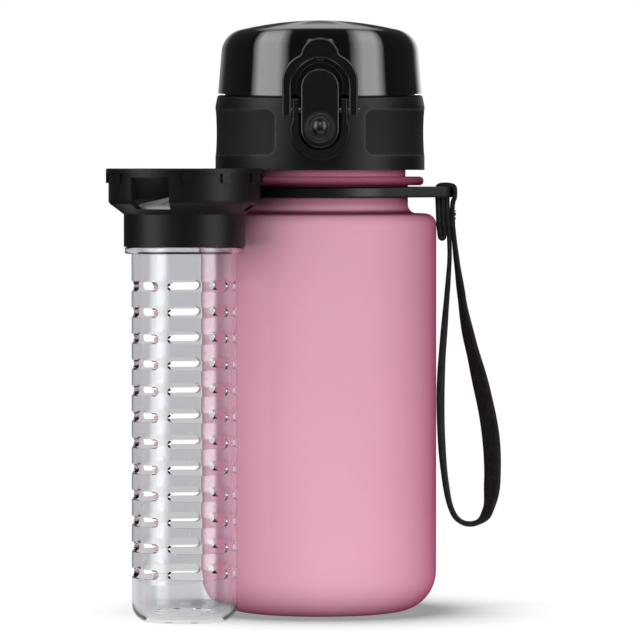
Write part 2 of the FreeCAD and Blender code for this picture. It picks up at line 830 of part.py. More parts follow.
# Strap loop: flat webbing that leaves the sewn head, hangs, and comes back to it.
stations = "abcdefghijklmnop"
route = [Vector(value(f"strap_{s}_out"), 0, value(f"strap_{s}_up")) for s in stations]
wire, radii = rounded_route(route)
side = (route[1] - route[0]).normalize()
flat = Vector(0, 1, 0).cross(side)
half_width, half_thick = value("strap_width") / 2, value("strap_thickness") / 2
corners = []
for across, through in ((-1, -1), (1, -1), (1, 1), (-1, 1), (-1, -1)):
    corners.append(route[0] + Vector(0, 1, 0) * across * half_width + flat * through * half_thick)
section = Part.makePolygon(corners)
loop = document.addObject("Part::Feature", "strap_loop")
loop.Label = "strap_loop"
loop.Shape = wire.makePipeShell([section], True, False)
loop.Placement = FreeCAD.Placement()
expected = wire.Length * value("strap_width") * value("strap_thickness")
print("strap length", round(wire.Length, 1), "volume share", round(loop.Shape.Volume / expected, 4))
print("strap radii", [round(radius, 1) for radius in radii])

# Strap head: the folded end, sewn below the bar that it wraps.
fold = new_body("strap_fold")
sketch = new_sketch(fold, "XZ_Plane")
outer = "eye_radius + strap_thickness"
draw_belt(sketch, ("eye_out", "ring_mid", outer), ("head_end_out", "head_end_up", "head_end_radius"))
draw_circle(sketch, "eye_out", "ring_mid", "eye_radius")
raise_pad(fold, sketch, "strap_width", both=True)
head = boolean("Part::Cut", "strap_head", fold, loop)

def above_seam(height):
    """The outline above the seam, seen from the side: level behind, dipping towards the front."""
    far = "0 - 2 * lid_radius"
    return [
        ("seam_blend", height),
        ("seam_blend", f"{height} + lid_slope"),
        (far, f"{height} + lid_slope"),
        (far, f"{height} - 2 * seam_dip"),
        ("0 - seam_blend * seam_run", f"{height} - seam_blend * seam_rise", "seam_arc", -1),
    ]


def below_seam(height):
    """The outline below the seam, seen from the side."""
    near, far = "2 * lid_radius", "0 - 2 * lid_radius"
    low = f"{height} - 4 * lid_slope"
    return [
        (near, height),
        ("seam_blend", height, "seam_arc", 1),
        ("0 - seam_blend * seam_run", f"{height} - seam_blend * seam_rise"),
        (far, f"{height} - 2 * seam_dip"),
        (far, low),
        (near, low),
    ]


def seam_rim(height, inner):
    """A test for the edges on the seam that lie outside a radius."""
    near = value("edge_match")
    level, slope = value(height), value("seam_dip / lid_radius")
    least = value(inner) + 10 * near
    blend = value("seam_blend * seam_rise") / 2 + near

    def chosen(edge):
        if edge.Degenerated:
            return False
        for share in (0.05, 0.35, 0.65, 0.95):
            span = edge.LastParameter - edge.FirstParameter
            point = edge.valueAt(edge.FirstParameter + span * share)
            off = point.z - level - min(0, point.y) * slope
            if not -blend < off < near or math.hypot(point.x, point.y) < least:
                return False
        return True

    return chosen


# Lid shell: turned skirt and deck, with the latch housing, hinge ears and grip recesses.
lid = new_body("lid_blank")
sketch = new_sketch(lid, "XZ_Plane")
draw_loop(
    sketch,
    [
        ("0", "deck_bottom"),
        ("lid_inner", "deck_bottom"),
        ("lid_inner", "lid_bottom"),
        ("lid_radius", "lid_bottom"),
        ("lid_radius", "lid_shoulder"),
        ("lid_top_radius", "lid_top"),
        ("lid_inner", "lid_top"),
        ("lid_inner", "deck_top"),
        ("0", "deck_top"),
    ],
)
spin(lid, sketch)
sketch = new_sketch(lid, "YZ_Plane")
draw_loop(sketch, above_seam("lid_top"))
cut_pocket(lid, sketch, "lid_radius * 4", both=True)
round_edges(lid, "lid_top_round", seam_rim("lid_top", "lid_inner"))
sketch = new_sketch(lid, "XZ_Plane", "boss_root")
draw_loop(
    sketch,
    [
        ("0 - boss_half", "lid_top"),
        ("0 - boss_half", "boss_flare_high"),
        ("0 - boss_flare_half", "boss_flare_low"),
        ("0 - boss_flare_half", "boss_bottom + boss_drop", "boss_arc", 1),
        ("boss_flare_half", "boss_bottom + boss_drop"),
        ("boss_flare_half", "boss_flare_low"),
        ("boss_half", "boss_flare_high"),
        ("boss_half", "lid_top"),
    ],
)
raise_pad(lid, sketch, "boss_front - boss_root")
sketch = new_sketch(lid, "YZ_Plane")
draw_loop(sketch, above_seam("lid_top"))
cut_pocket(lid, sketch, "lid_radius * 4", both=True)
round_edges(lid, "boss_round", flat_at("Y", "0 - boss_front"))
sketch = new_sketch(lid, "XZ_Plane", "boss_front")
draw_belt(
    sketch,
    ("0", "lid_top + pocket_half", "pocket_half"),
    ("0", "button_low - pocket_gap + pocket_half", "pocket_half"),
)
cut_pocket(lid, sketch, "boss_front - pocket_floor")
sketch = new_sketch(lid, "XZ_Plane", "pocket_floor")
draw_circle(sketch, "0", "dimple_height", "return_seat_radius")
cut_pocket(lid, sketch, "return_seat_boss")
sketch = new_sketch(lid, "YZ_Plane")
draw_circle(sketch, "0 - latch_pin_front", "latch_pin_height", "latch_pin_radius")
cut_pocket(lid, sketch, "lid_radius", both=True)
sketch = new_sketch(lid, "YZ_Plane", "ear_inner")
draw_belt(
    sketch,
    ("hinge_back", "hinge_height", "knuckle_radius"),
    ("ear_root_back", "ear_root_height", "ear_root_radius"),
)
ear = raise_pad(lid, sketch, "ear_width")
mirror(lid, [ear], "YZ_Plane")
sketch = new_sketch(lid, "YZ_Plane")
draw_circle(sketch, "hinge_back", "hinge_height", "hinge_pin_radius")
cut_pocket(lid, sketch, "4 * ear_outer", both=True)
sketch = new_sketch(lid, "XY_Plane", "lid_top")
draw_circle(sketch, "0", "0 - spout_forward", "spout_hole")
cut_pocket(lid, sketch, "lid_top - deck_bottom")

grips = new_body("grip_prism")
sketch = new_sketch(grips, "XZ_Plane")
for hand in ("", "0 - "):
    turn = 1 if hand == "" else -1
    inner, outer = f"{hand}(grip_front)", f"{hand}(lid_radius * 2)"
    inside = f"{hand}(grip_front + grip_round)"
    draw_loop(
        sketch,
        [
            (outer, "grip_high"),
            (inside, "grip_high", "grip_round", turn),
            (inner, "grip_high - grip_round"),
            (inner, "grip_low + grip_round", "grip_round", turn),
            (inside, "grip_low"),
            (outer, "grip_low"),
        ],
    )
raise_pad(grips, sketch, "lid_radius * 4", both=True)
core = new_body("grip_core")
sketch = new_sketch(core, "XZ_Plane")
draw_loop(
    sketch,
    [
        ("0", "lid_bottom"),
        ("grip_rim", "lid_bottom"),
        ("grip_rim", "grip_low", "grip_arc", -1),
        ("grip_rim", "grip_high"),
        ("grip_rim", "lid_top"),
        ("0", "lid_top"),
    ],
)
spin(core, sketch)
grip_tool = boolean("Part::Cut", "grip_tool", grips, core)
lid_shell = boolean("Part::Cut", "lid_shell", lid, grip_tool)

# Lid liner: the inner cap that takes the bottle's thread.
liner = new_body("lid_liner")
sketch = new_sketch(liner, "XZ_Plane")
draw_loop(
    sketch,
    [
        ("0", "liner_plate_low"),
        ("liner_inner", "liner_plate_low"),
        ("liner_inner", "liner_bottom"),
        ("liner_outer", "liner_bottom"),
        ("liner_outer", "deck_bottom"),
        ("0", "deck_bottom"),
    ],
)
spin(liner, sketch)
sketch = new_sketch(liner, "XY_Plane", "deck_bottom")
draw_circle(sketch, "0", "0 - spout_forward", "spout_hole")
cut_pocket(liner, sketch, "liner_thickness")

# Gasket on the rim of the bottle.
gasket = new_body("lid_gasket")
sketch = new_sketch(gasket, "XZ_Plane")
draw_box(sketch, "gasket_inner", "gasket_outer", "gasket_low", "gasket_high")
spin(gasket, sketch)
round_edges(gasket, "gasket_round", ring_at("gasket_outer", "gasket_low"))
round_edges(gasket, "gasket_round", ring_at("gasket_inner", "gasket_low"))

# Drinking spout: a flanged, slightly tapered tube through the deck.
spout = new_body("drinking_spout")
sketch = new_sketch(spout, "XZ_Plane")
draw_loop(
    sketch,
    [
        ("spout_bore", "liner_plate_low"),
        ("spout_root", "liner_plate_low"),
        ("spout_root", "deck_top"),
        ("spout_flange", "deck_top"),
        ("spout_flange", "deck_top + spout_flange_thickness"),
        ("spout_root", "deck_top + spout_flange_thickness"),
        ("spout_rim", "spout_top"),
        ("spout_bore", "spout_top"),
    ],
)
spin(spout, sketch)
round_edges(spout, "spout_round", ring_at("spout_rim", "spout_top"))
round_edges(spout, "spout_round", ring_at("spout_flange", "deck_top + spout_flange_thickness"))
spout.setExpression("Placement.Base.y", bound("0 - spout_forward"))

# Cap shell: the domed gloss cover, open at the arch in front and the hinge behind.
cap = new_body("cap_shell")
sketch = new_sketch(cap, "XZ_Plane")
draw_loop(
    sketch,
    [
        ("0", "cap_ceiling"),
        ("cap_inner_flat", "cap_ceiling"),
        ("cap_crown_inner", "cap_inner_corner"),
        ("cap_foot_inner", "cap_skirt"),
        ("cap_foot_radius", "cap_skirt"),
        ("cap_crown_radius", "cap_edge", "dome_radius", 1),
        ("0", "cap_top"),
    ],
)
spin(cap, sketch)
round_edges(cap, "cap_round", ring_at("cap_crown_radius", "cap_edge"))
sketch = new_sketch(cap, "YZ_Plane")
draw_loop(sketch, below_seam("cap_foot"))
cut_pocket(cap, sketch, "lid_radius * 4", both=True)
sketch = new_sketch(cap, "XZ_Plane", "lid_radius * 2")
draw_arch(sketch, "arch_half + arch_gap", "lid_bottom", "arch_top + arch_gap")
cut_pocket(cap, sketch, "lid_radius * 2")
sketch = new_sketch(cap, "XZ_Plane")
draw_box(sketch, "0 - ear_inner", "ear_inner", "lid_bottom", "web_window_top")
cut_pocket(cap, sketch, "lid_radius * 2")

# Cap liner: the inner cap, with the latch arch, the seal's seat and the hinge knuckles.
inner = new_body("cap_liner")
sketch = new_sketch(inner, "XZ_Plane")
draw_loop(
    sketch,
    [
        ("0", "cap_liner_under"),
        ("cap_liner_radius - cap_liner_wall", "cap_liner_under"),
        ("cap_liner_crown - cap_liner_wall", "cap_liner_knee"),
        ("cap_liner_foot - cap_liner_wall", "cap_foot"),
        ("cap_liner_foot", "cap_foot"),
        ("cap_liner_crown", "cap_liner_knee"),
        ("cap_liner_radius", "cap_ceiling"),
        ("0", "cap_ceiling"),
    ],
)
spin(inner, sketch)
sketch = new_sketch(inner, "XY_Plane", "seal_seat_low")
draw_circle(sketch, "0", "0 - spout_forward", "seal_seat_radius")
draw_circle(sketch, "0", "0 - spout_forward", "seal_radius")
raise_pad(inner, sketch, "cap_liner_under - seal_seat_low")
sketch = new_sketch(inner, "XY_Plane", "seal_top")
draw_circle(sketch, "0", "0 - spout_forward", "seal_seat_radius")
raise_pad(inner, sketch, "cap_liner_under - seal_top")
sketch = new_sketch(inner, "XZ_Plane", "arch_root")
draw_arch(sketch, "arch_half", "cap_skirt - seam_dip", "arch_top")
raise_pad(inner, sketch, "arch_front - arch_root")
sketch = new_sketch(inner, "YZ_Plane")
draw_loop(sketch, below_seam("cap_foot"))
cut_pocket(inner, sketch, "lid_radius * 4", both=True)
round_edges(inner, "arch_round", flat_at("Y", "0 - arch_front"))
sketch = new_sketch(inner, "XZ_Plane", "arch_front")
draw_arch(sketch, "arch_inner", "lid_bottom", "arch_top - arch_band")
cut_pocket(inner, sketch, "arch_front - arch_floor")
sketch = new_sketch(inner, "XZ_Plane", "arch_floor")
draw_box(sketch, "0 - channel_half", "channel_half", "catch_high", "channel_top")
cut_pocket(inner, sketch, "channel_depth")
sketch = new_sketch(inner, "XZ_Plane", "arch_floor")
draw_box(sketch, "0 - channel_half", "channel_half", "lid_bottom", "catch_low")
cut_pocket(inner, sketch, "channel_depth")
sketch = new_sketch(inner, "XZ_Plane", "arch_floor")
draw_box(sketch, "0 - channel_half", "channel_half", "catch_low", "catch_high")
cut_pocket(inner, sketch, "channel_depth - catch_proud")
sketch = new_sketch(inner, "YZ_Plane", "knuckle_inner")
draw_belt(
    sketch,
    ("hinge_back", "hinge_height", "knuckle_radius"),
    ("web_root_back", "web_root_height", "web_root_radius"),
)
knuckle = raise_pad(inner, sketch, "knuckle_outer - knuckle_inner")
mirror(inner, [knuckle], "YZ_Plane")
sketch = new_sketch(inner, "YZ_Plane")
draw_circle(sketch, "hinge_back", "hinge_height", "hinge_pin_radius + hinge_fit")
cut_pocket(inner, sketch, "4 * ear_outer", both=True)

# Silicone seal that the closed cap presses on the spout.
seal = new_body("cap_seal")
sketch = new_sketch(seal, "XZ_Plane")
draw_loop(
    sketch,
    [
        ("0", "seal_low - seal_plug_depth"),
        ("seal_plug_radius - seal_plug_depth", "seal_low - seal_plug_depth"),
        ("seal_plug_radius", "seal_low"),
        ("seal_radius", "seal_low"),
        ("seal_radius", "seal_top"),
        ("0", "seal_top"),
    ],
)
spin(seal, sketch)
seal.setExpression("Placement.Base.y", bound("0 - spout_forward"))

# Steel pins of the hinge and the latch.
hinge_half = "ear_outer + hinge_pin_stub"
hinge_pin = rod("hinge_pin", "hinge_pin_radius", hinge_half, "hinge_back", "hinge_height")
latch_pin = rod(
    "latch_pin", "latch_pin_radius", "latch_pin_half", "0 - latch_pin_front", "latch_pin_height"
)
latch_pin.setExpression("Placement.Base.x", bound("0 - bail_half"))


def biarc(start, leave, end, arrive):
    """Two arcs that share a tangent, from one point and direction to another."""
    chord, both = end - start, leave + arrive
    slack = 2 * (1 - leave.dot(arrive))
    reach = (math.sqrt(chord.dot(both) ** 2 + slack * chord.dot(chord)) - chord.dot(both)) / slack
    knees = (start + leave * reach, end - arrive * reach)
    meet = (knees[0] + knees[1]) / 2
    arcs = []
    for one, knee, two in ((start, knees[0], meet), (meet, knees[1], end)):
        chord_middle = (one + two) / 2
        lean = math.atan2((knee - chord_middle).Length, (two - one).Length / 2)
        share = math.tan(lean / 2) / math.tan(lean)
        middle = chord_middle + (knee - chord_middle) * share
        arcs.append(Part.Arc(one, middle, two).toShape())
    return arcs


def coil(radius, pitch, quarters, tail):
    """A round spring's middle line about the X axis, in quarter turns, with straight tails."""
    rise = pitch / (2 * math.pi)
    length = math.hypot(radius, rise)
    places, headings = [], []
    for step in range(quarters + 1):
        angle = step * math.pi / 2
        across = (step - quarters / 2) * pitch / 4
        places.append(Vector(across, radius * math.sin(angle), -radius * math.cos(angle)))
        heading = Vector(rise, radius * math.cos(angle), radius * math.sin(angle))
        headings.append(heading * (1 / length))
    edges = []
    for step in range(quarters):
        edges += biarc(places[step], headings[step], places[step + 1], headings[step + 1])
    if tail:
        edges.insert(0, Part.makeLine(places[0] - headings[0] * tail[0], places[0]))
        edges.append(Part.makeLine(places[-1], places[-1] + headings[-1] * tail[1]))
    return Part.Wire(edges)


def wound_wire(label, line, wire_radius):
    start = line.Vertexes[0].Point
    heading = line.OrderedEdges[0].tangentAt(line.OrderedEdges[0].FirstParameter)
    section = Part.Wire(Part.Circle(start, heading, wire_radius).toShape())
    spring = document.addObject("Part::Feature", label)
    spring.Label = label
    spring.Shape = line.makePipeShell([section], True, False)
    expected = line.Length * math.pi * wire_radius**2
    print(label, "volume share", round(spring.Shape.Volume / expected, 4))
    return spring


# Hinge spring: a torsion coil on the hinge pin, one leg on the lid and one on the cap.
turns_quarters = 18
tails = (value("spring_low_leg"), value("spring_high_leg"))
line = coil(value("spring_radius"), value("spring_pitch"), turns_quarters, tails)
hinge_spring = wound_wire("hinge_spring", line, value("spring_wire / 2"))
about = FreeCAD.Rotation(Vector(0, 0, 1), 180)
place = Vector(0, value("hinge_back"), value("hinge_height"))
hinge_spring.Placement = FreeCAD.Placement(place, about)
print("hinge spring least gap", round(value("spring_pitch - spring_wire"), 2))

# Return spring: a small coil between the housing and the back of the button.
return_quarters = 4 * sizes["return_turns"]
line = coil(value("return_radius"), value("return_pitch"), return_quarters, None)
latch_spring = wound_wire("latch_spring", line, value("return_wire / 2"))
middle = value("(return_seat_back + return_seat_front) / 2")
place = Vector(0, 0 - middle, value("dimple_height"))
latch_spring.Placement = FreeCAD.Placement(place, FreeCAD.Rotation(Vector(0, 0, 1), 90))
print("latch spring least gap", round(value("return_pitch - return_wire"), 2))

# Latch button: a rocking lever with a thumb dimple, a pin bore and a tooth for the cap.
button = new_body("latch_button")
sketch = new_sketch(button, "XZ_Plane", "button_back")
draw_belt(
    sketch,
    ("0", "button_high - button_half", "button_half"),
    ("0", "button_low + button_half", "button_half"),
)
raise_pad(button, sketch, "button_front - button_back")
round_edges(button, "button_round", flat_at("Y", "0 - button_front"))
sketch = new_sketch(button, "XZ_Plane", "button_front")
for ring_radius in ("dimple_outer", "dimple_ring"):
    draw_circle(sketch, "0", "dimple_height", ring_radius)
    draw_circle(sketch, "0", "dimple_height", f"{ring_radius} - dimple_groove")
cut_pocket(button, sketch, "dimple_depth")
sketch = new_sketch(button, "YZ_Plane")
sketch.setExpression("AttachmentOffset.Base.y", bound("dimple_height"))
draw_loop(
    sketch,
    [
        ("0 - button_front - dome_proud", "0"),
        ("dome_root - button_front", "0"),
        ("dome_root - button_front", "dome_base"),
        ("0 - button_front", "dome_base", "dome_arc", 1),
    ],
)
ball = button.newObject("PartDesign::Revolution", "button_ball")
ball.Profile = sketch
ball.ReferenceAxis = (sketch, ["H_Axis"])
ball.Angle = 360
finish(button, ball)
sketch = new_sketch(button, "YZ_Plane")
draw_circle(sketch, "0 - latch_pin_front", "latch_pin_height", "latch_pin_radius + latch_fit")
cut_pocket(button, sketch, "button_half * 4", both=True)
sketch = new_sketch(button, "XZ_Plane", "button_back - tooth_depth")
draw_box(sketch, "0 - tooth_half", "tooth_half", "tooth_low", "tooth_high")
raise_pad(button, sketch, "tooth_depth + button_round")
sketch = new_sketch(button, "XZ_Plane", "button_back + return_seat_button")
draw_circle(sketch, "0", "dimple_height", "return_seat_radius")
cut_pocket(button, sketch, "return_seat_button")

# Lock bail: the bow that stands in front of the arch, on the latch pin.
bail = new_body("lock_bail")
sketch = new_sketch(bail, "XZ_Plane", "latch_pin_front - bail_thickness / 2")
draw_loop(
    sketch,
    [
        ("0 - bail_half", "bail_foot"),
        ("bail_half", "bail_foot"),
        ("bail_half", "bail_shoulder_low", "bail_shoulder_arc", 1),
        ("bail_neck_half", "bail_neck_height", "bail_tab_arc", 1),
        ("0 - bail_neck_half", "bail_neck_height", "bail_shoulder_arc", 1),
        ("0 - bail_half", "bail_shoulder_low"),
    ],
)
raise_pad(bail, sketch, "bail_thickness")
sketch = new_sketch(bail, "XZ_Plane", "latch_pin_front + bail_thickness / 2")
draw_arch(sketch, "bail_inner", "lid_bottom", "bail_inner_top")
cut_pocket(bail, sketch, "bail_thickness")
round_edges(bail, "bail_neck_round", post_at("bail_neck_half", "bail_neck_height"))
round_edges(bail, "bail_round", flat_at("Y", "0 - latch_pin_front - bail_thickness / 2"))
round_edges(bail, "bail_round", flat_at("Y", "bail_thickness / 2 - latch_pin_front"))
sketch = new_sketch(bail, "XZ_Plane", "latch_pin_front - bail_thickness / 2 + bail_nub_inset")
draw_box(
    sketch,
    "0 - bail_nub_half",
    "bail_nub_half",
    "bail_inner_top - bail_nub_drop",
    "bail_inner_top + bail_nub_drop",
)
raise_pad(bail, sketch, "bail_thickness - bail_nub_inset * 2")
sketch = new_sketch(bail, "YZ_Plane")
draw_circle(sketch, "0 - latch_pin_front", "latch_pin_height", "latch_pin_radius + latch_fit")
cut_pocket(bail, sketch, "bail_half * 4", both=True)
lean = FreeCAD.Rotation(Vector(1, 0, 0), value("bail_lean"))
axis_point = Vector(0, value("0 - latch_pin_front"), value("latch_pin_height"))
bail.Placement = FreeCAD.Placement(axis_point - lean.multVec(axis_point), lean)


def stand_infuser(body):
    """Sets an infuser piece where the infuser stands, beside the bottle."""
    turn = FreeCAD.Rotation(Vector(0, 0, 1), value("infuser_turn"))
    place = Vector(value("0 - infuser_left"), value("0 - infuser_front"), 0)
    body.Placement = FreeCAD.Placement(place, turn)


def turned_sketch(body, angle):
    """An upright sketch turned about the body's axis."""
    sketch = new_sketch(body, "XZ_Plane")
    turn = FreeCAD.Rotation(Vector(0, 1, 0), value(angle))
    sketch.AttachmentOffset = FreeCAD.Placement(Vector(0, 0, 0), turn)
    return sketch


# Infuser tube: a clear cup with rows of slots, drains in its floor and a lip for the head.
tube = new_body("infuser_tube")
sketch = new_sketch(tube, "XZ_Plane")
draw_loop(
    sketch,
    [
        ("0", "0"),
        ("tube_radius", "0"),
        ("tube_radius", "tube_lip_low"),
        ("tube_lip_radius", "tube_lip_low"),
        ("tube_lip_radius", "tube_lip_high"),
        ("spigot_radius", "tube_lip_high"),
        ("spigot_radius", "spigot_top"),
        ("tube_inner", "spigot_top"),
        ("tube_inner", "tube_floor"),
        ("0", "tube_floor"),
    ],
)
spin(tube, sketch)
round_edges(tube, "tube_round", ring_at("tube_radius", "0"))
round_edges(tube, "tube_round - tube_wall", ring_at("tube_inner", "tube_floor"))
round_edges(tube, "tube_lip_round", ring_at("tube_lip_radius", "tube_lip_low"))
round_edges(tube, "tube_lip_round", ring_at("tube_lip_radius", "tube_lip_high"))
sketch = new_sketch(tube, "XY_Plane", "tube_floor")
draw_box(sketch, "drain_inner", "drain_outer", "0 - drain_half", "drain_half")
drain = cut_pocket(tube, sketch, "tube_floor")
repeat_round(tube, [drain], "drains")
sketch = turned_sketch(tube, "180 / slots_per_level + slot_turn")
slot_end = "slot_half - slot_opening / 2"
draw_belt(
    sketch,
    (f"0 - ({slot_end})", "slot_first", "slot_opening / 2"),
    (slot_end, "slot_first", "slot_opening / 2"),
)
slot = cut_pocket(tube, sketch, "tube_radius + tube_wall")
levels = tube.newObject("PartDesign::MultiTransform", "tube_slots")
upward = tube.newObject("PartDesign::LinearPattern", "tube_levels")
upward.Direction = (origin_part(tube, "Z_Axis"), [""])
upward.setExpression("Length", bound("slot_pitch * (slot_levels - 1)"))
upward.setExpression("Occurrences", bound("slot_levels"))
around = tube.newObject("PartDesign::PolarPattern", "tube_ribs")
around.Axis = (origin_part(tube, "Z_Axis"), [""])
around.Angle = 360
around.setExpression("Occurrences", bound("slots_per_level"))
levels.Originals = [slot]
levels.Transformations = [upward, around]
finish(tube, levels)
stand_infuser(tube)

# Infuser head: the collar that drops into the bottle's mouth, with lugs and pouring windows.
collar = new_body("infuser_head")
sketch = new_sketch(collar, "XZ_Plane")
draw_loop(
    sketch,
    [
        ("collar_inner", "collar_low"),
        ("collar_outer", "collar_low"),
        ("collar_outer", "head_cone_low"),
        ("head_radius", "head_cone_high"),
        ("head_radius", "head_top - head_flange_thickness"),
        ("head_flange_radius", "head_top - head_flange_thickness"),
        ("head_flange_radius", "head_top"),
        ("head_inner", "head_top"),
        ("head_inner", "head_cone_high + shelf_thickness / 2"),
        ("shelf_outer", "shelf_top"),
        ("shelf_inner", "shelf_top"),
        ("shelf_inner", "shelf_low"),
        ("collar_inner", "shelf_low"),
    ],
)
spin(collar, sketch)
round_edges(collar, "head_corner_round", ring_at("head_radius", "head_cone_high"))
round_edges(collar, "head_top_round", ring_at("head_flange_radius", "head_top"))
sketch = new_sketch(collar, "XY_Plane", "head_top - lug_drop")
draw_box(sketch, "lug_root", "head_flange_radius", "0 - lug_half", "lug_half")
lug = raise_pad(collar, sketch, "lug_drop - head_top_round * 2")
lugs = repeat_round(collar, [lug], "360 / lug_pitch")
sketch = new_sketch(collar, "XZ_Plane")
draw_box(sketch, "window_inner", "window_outer", "window_low", "window_high")
window = spin(collar, sketch, "PartDesign::Groove", "window_angle")
repeat_round(collar, [window], "2")
sketch = new_sketch(collar, "XZ_Plane")
draw_box(sketch, "head_radius", "window_outer", "window_low", "head_top - head_flange_thickness")
clear = spin(collar, sketch, "PartDesign::Groove", "window_angle")
repeat_round(collar, [clear], "2")
for angle in ("weep_side - weep_turn", "weep_side + weep_turn"):
    sketch = turned_sketch(collar, angle)
    draw_box(sketch, "collar_outer + joint_clearance", "window_outer", "weep_low", "weep_high")
    weep = spin(collar, sketch, "PartDesign::Groove", "weep_angle")
    repeat_round(collar, [weep], "2")
stand_infuser(collar)

# Strainer: the slotted cone inside the head.
strainer = new_body("strainer")
sketch = new_sketch(strainer, "XZ_Plane")
draw_loop(
    sketch,
    [
        ("0", "strainer_apex - strainer_thickness"),
        ("strainer_radius - strainer_rim", "shelf_top"),
        ("strainer_radius", "shelf_top"),
        ("strainer_radius - strainer_rim", "shelf_top + strainer_thickness"),
        ("0", "strainer_apex"),
    ],
)
spin(strainer, sketch)
sketch = new_sketch(strainer, "XY_Plane", "strainer_apex")
draw_box(sketch, "sieve_inner", "sieve_outer", "0 - sieve_half", "sieve_half")
sieve = cut_pocket(strainer, sketch, "strainer_apex - shelf_low")
repeat_round(strainer, [sieve], "sieve_slots")
stand_infuser(strainer)

document.recompute()
nodes = [
    bottle,
    ring,
    head,
    loop,
    lid_shell,
    liner,
    gasket,
    spout,
    cap,
    inner,
    seal,
    hinge_pin,
    hinge_spring,
    latch_pin,
    latch_spring,
    button,
    bail,
    tube,
    collar,
    strainer,
]
for made in document.Objects:
    if "Invalid" in made.State or "Error" in made.State:
        raise RuntimeError(f"{made.Label} failed")
for node in nodes:
    if node.Shape.isNull() or not node.Shape.isValid() or len(node.Shape.Solids) != 1:
        raise RuntimeError(f"{node.Label} has {len(node.Shape.Solids)} solids or is not valid")
os.makedirs("parts", exist_ok=True)
for node in nodes:
    node.Shape.exportStep(f"parts/{node.Label}.step")
    print(node.Label, round(node.Shape.Volume, 1))
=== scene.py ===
import math

import bpy
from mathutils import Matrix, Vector


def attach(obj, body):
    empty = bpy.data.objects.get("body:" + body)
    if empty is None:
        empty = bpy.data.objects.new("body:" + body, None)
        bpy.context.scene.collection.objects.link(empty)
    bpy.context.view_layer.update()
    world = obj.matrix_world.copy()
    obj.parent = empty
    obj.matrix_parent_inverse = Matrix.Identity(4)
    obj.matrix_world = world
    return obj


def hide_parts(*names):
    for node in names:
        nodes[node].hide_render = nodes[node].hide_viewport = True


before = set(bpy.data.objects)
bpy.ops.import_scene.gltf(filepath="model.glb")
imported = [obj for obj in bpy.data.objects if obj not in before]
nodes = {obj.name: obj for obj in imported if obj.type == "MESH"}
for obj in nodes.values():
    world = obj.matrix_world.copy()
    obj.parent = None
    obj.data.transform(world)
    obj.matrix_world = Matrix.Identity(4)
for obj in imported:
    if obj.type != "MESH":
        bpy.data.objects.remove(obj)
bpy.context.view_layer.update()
mm = 0.001
weldGap = 0.01 * mm  # points closer than this are one
scene = bpy.context.scene
scene.view_settings.view_transform = "Standard"


def linear(hexColour):
    channels = [int(hexColour[i : i + 2], 16) / 255 for i in (1, 3, 5)]
    return [c / 12.92 if c <= 0.04045 else ((c + 0.055) / 1.055) ** 2.4 for c in channels] + [1]


def addNode(tree, kind, settings=None, links=None):
    node = tree.nodes.new("ShaderNode" + kind)
    for name, setting in (settings or {}).items():
        if isinstance(name, int) or name in node.inputs:
            node.inputs[name].default_value = setting
        else:
            setattr(node, name, setting)
    for name, (source, output) in (links or {}).items():
        tree.links.new(source.outputs[output], node.inputs[name])
    return node


def newMaterial(name, finish):
    material = bpy.data.materials.new(name)
    material.use_nodes = True
    tree = material.node_tree
    shader = tree.nodes["Principled BSDF"]
    for socket, setting in finish.items():
        shader.inputs[socket].default_value = setting
    return material, tree, shader, addNode(tree, "TexCoord")


def pick(*pieces):
    bpy.ops.object.select_all(action="DESELECT")
    for piece in pieces:
        piece.select_set(True)
    bpy.context.view_layer.objects.active = pieces[0]


def copyTo(pattern, location, turn):
    one = pattern.copy()
    one.data = pattern.data.copy()
    scene.collection.objects.link(one)
    one.location = location
    one.rotation_euler = turn
    return one


def joinCopies(copies):
    pick(*copies)
    bpy.ops.object.join()
    bpy.ops.object.transform_apply()
    return bpy.context.object


# camera: level with the lid's foot, far off, as in the photograph
photo = {"distance": 1500, "height": 128, "aim": 84.05, "width": 185, "sensor": 36}
camera = bpy.data.objects.new("photoCamera", bpy.data.cameras.new("photoCamera"))
scene.collection.objects.link(camera)
scene.camera = camera
camera.location = (0, -photo["distance"] * mm, photo["height"] * mm)
sight = Vector((0, 0, photo["aim"] * mm)) - camera.location
camera.rotation_euler = sight.to_track_quat("-Z", "Y").to_euler()
camera.data.sensor_width = photo["sensor"]
camera.data.lens = photo["sensor"] * sight.length / (photo["width"] * mm)
print("camera: lens", round(camera.data.lens), "mm")

# studio: soft lamps in front, to both sides and behind, in metres; none of them shows in gloss
# or clear plastic
studio = {
    "frontLamp": {"bearing": -12, "away": 2.0, "height": 0.22, "size": (1.6, 0.5), "watts": 9.5},
    "leftLamp": {"bearing": -52, "away": 2.0, "height": 0.30, "size": (1.8, 1.0), "watts": 19.5},
    "rightLamp": {"bearing": 48, "away": 2.0, "height": 0.30, "size": (0.9, 0.7), "watts": 28.5},
    "rearLamp": {"bearing": 180, "away": 2.0, "height": 0.55, "size": (1.4, 0.8), "watts": 34},
}
lampAim = Vector((0, 0, 0.09))  # the middle of the bottle
for name, softbox in studio.items():
    lamp = bpy.data.objects.new(name, bpy.data.lights.new(name, "AREA"))
    scene.collection.objects.link(lamp)
    turn = math.radians(softbox["bearing"])
    lamp.location = (math.sin(turn) * softbox["away"], -math.cos(turn) * softbox["away"], softbox["height"])
    lamp.rotation_euler = (lampAim - lamp.location).to_track_quat("-Z", "Y").to_euler()
    lamp.data.shape = "RECTANGLE"
    lamp.data.size, lamp.data.size_y = softbox["size"]
    lamp.data.energy = softbox["watts"]
    lamp.visible_glossy = lamp.visible_transmission = False

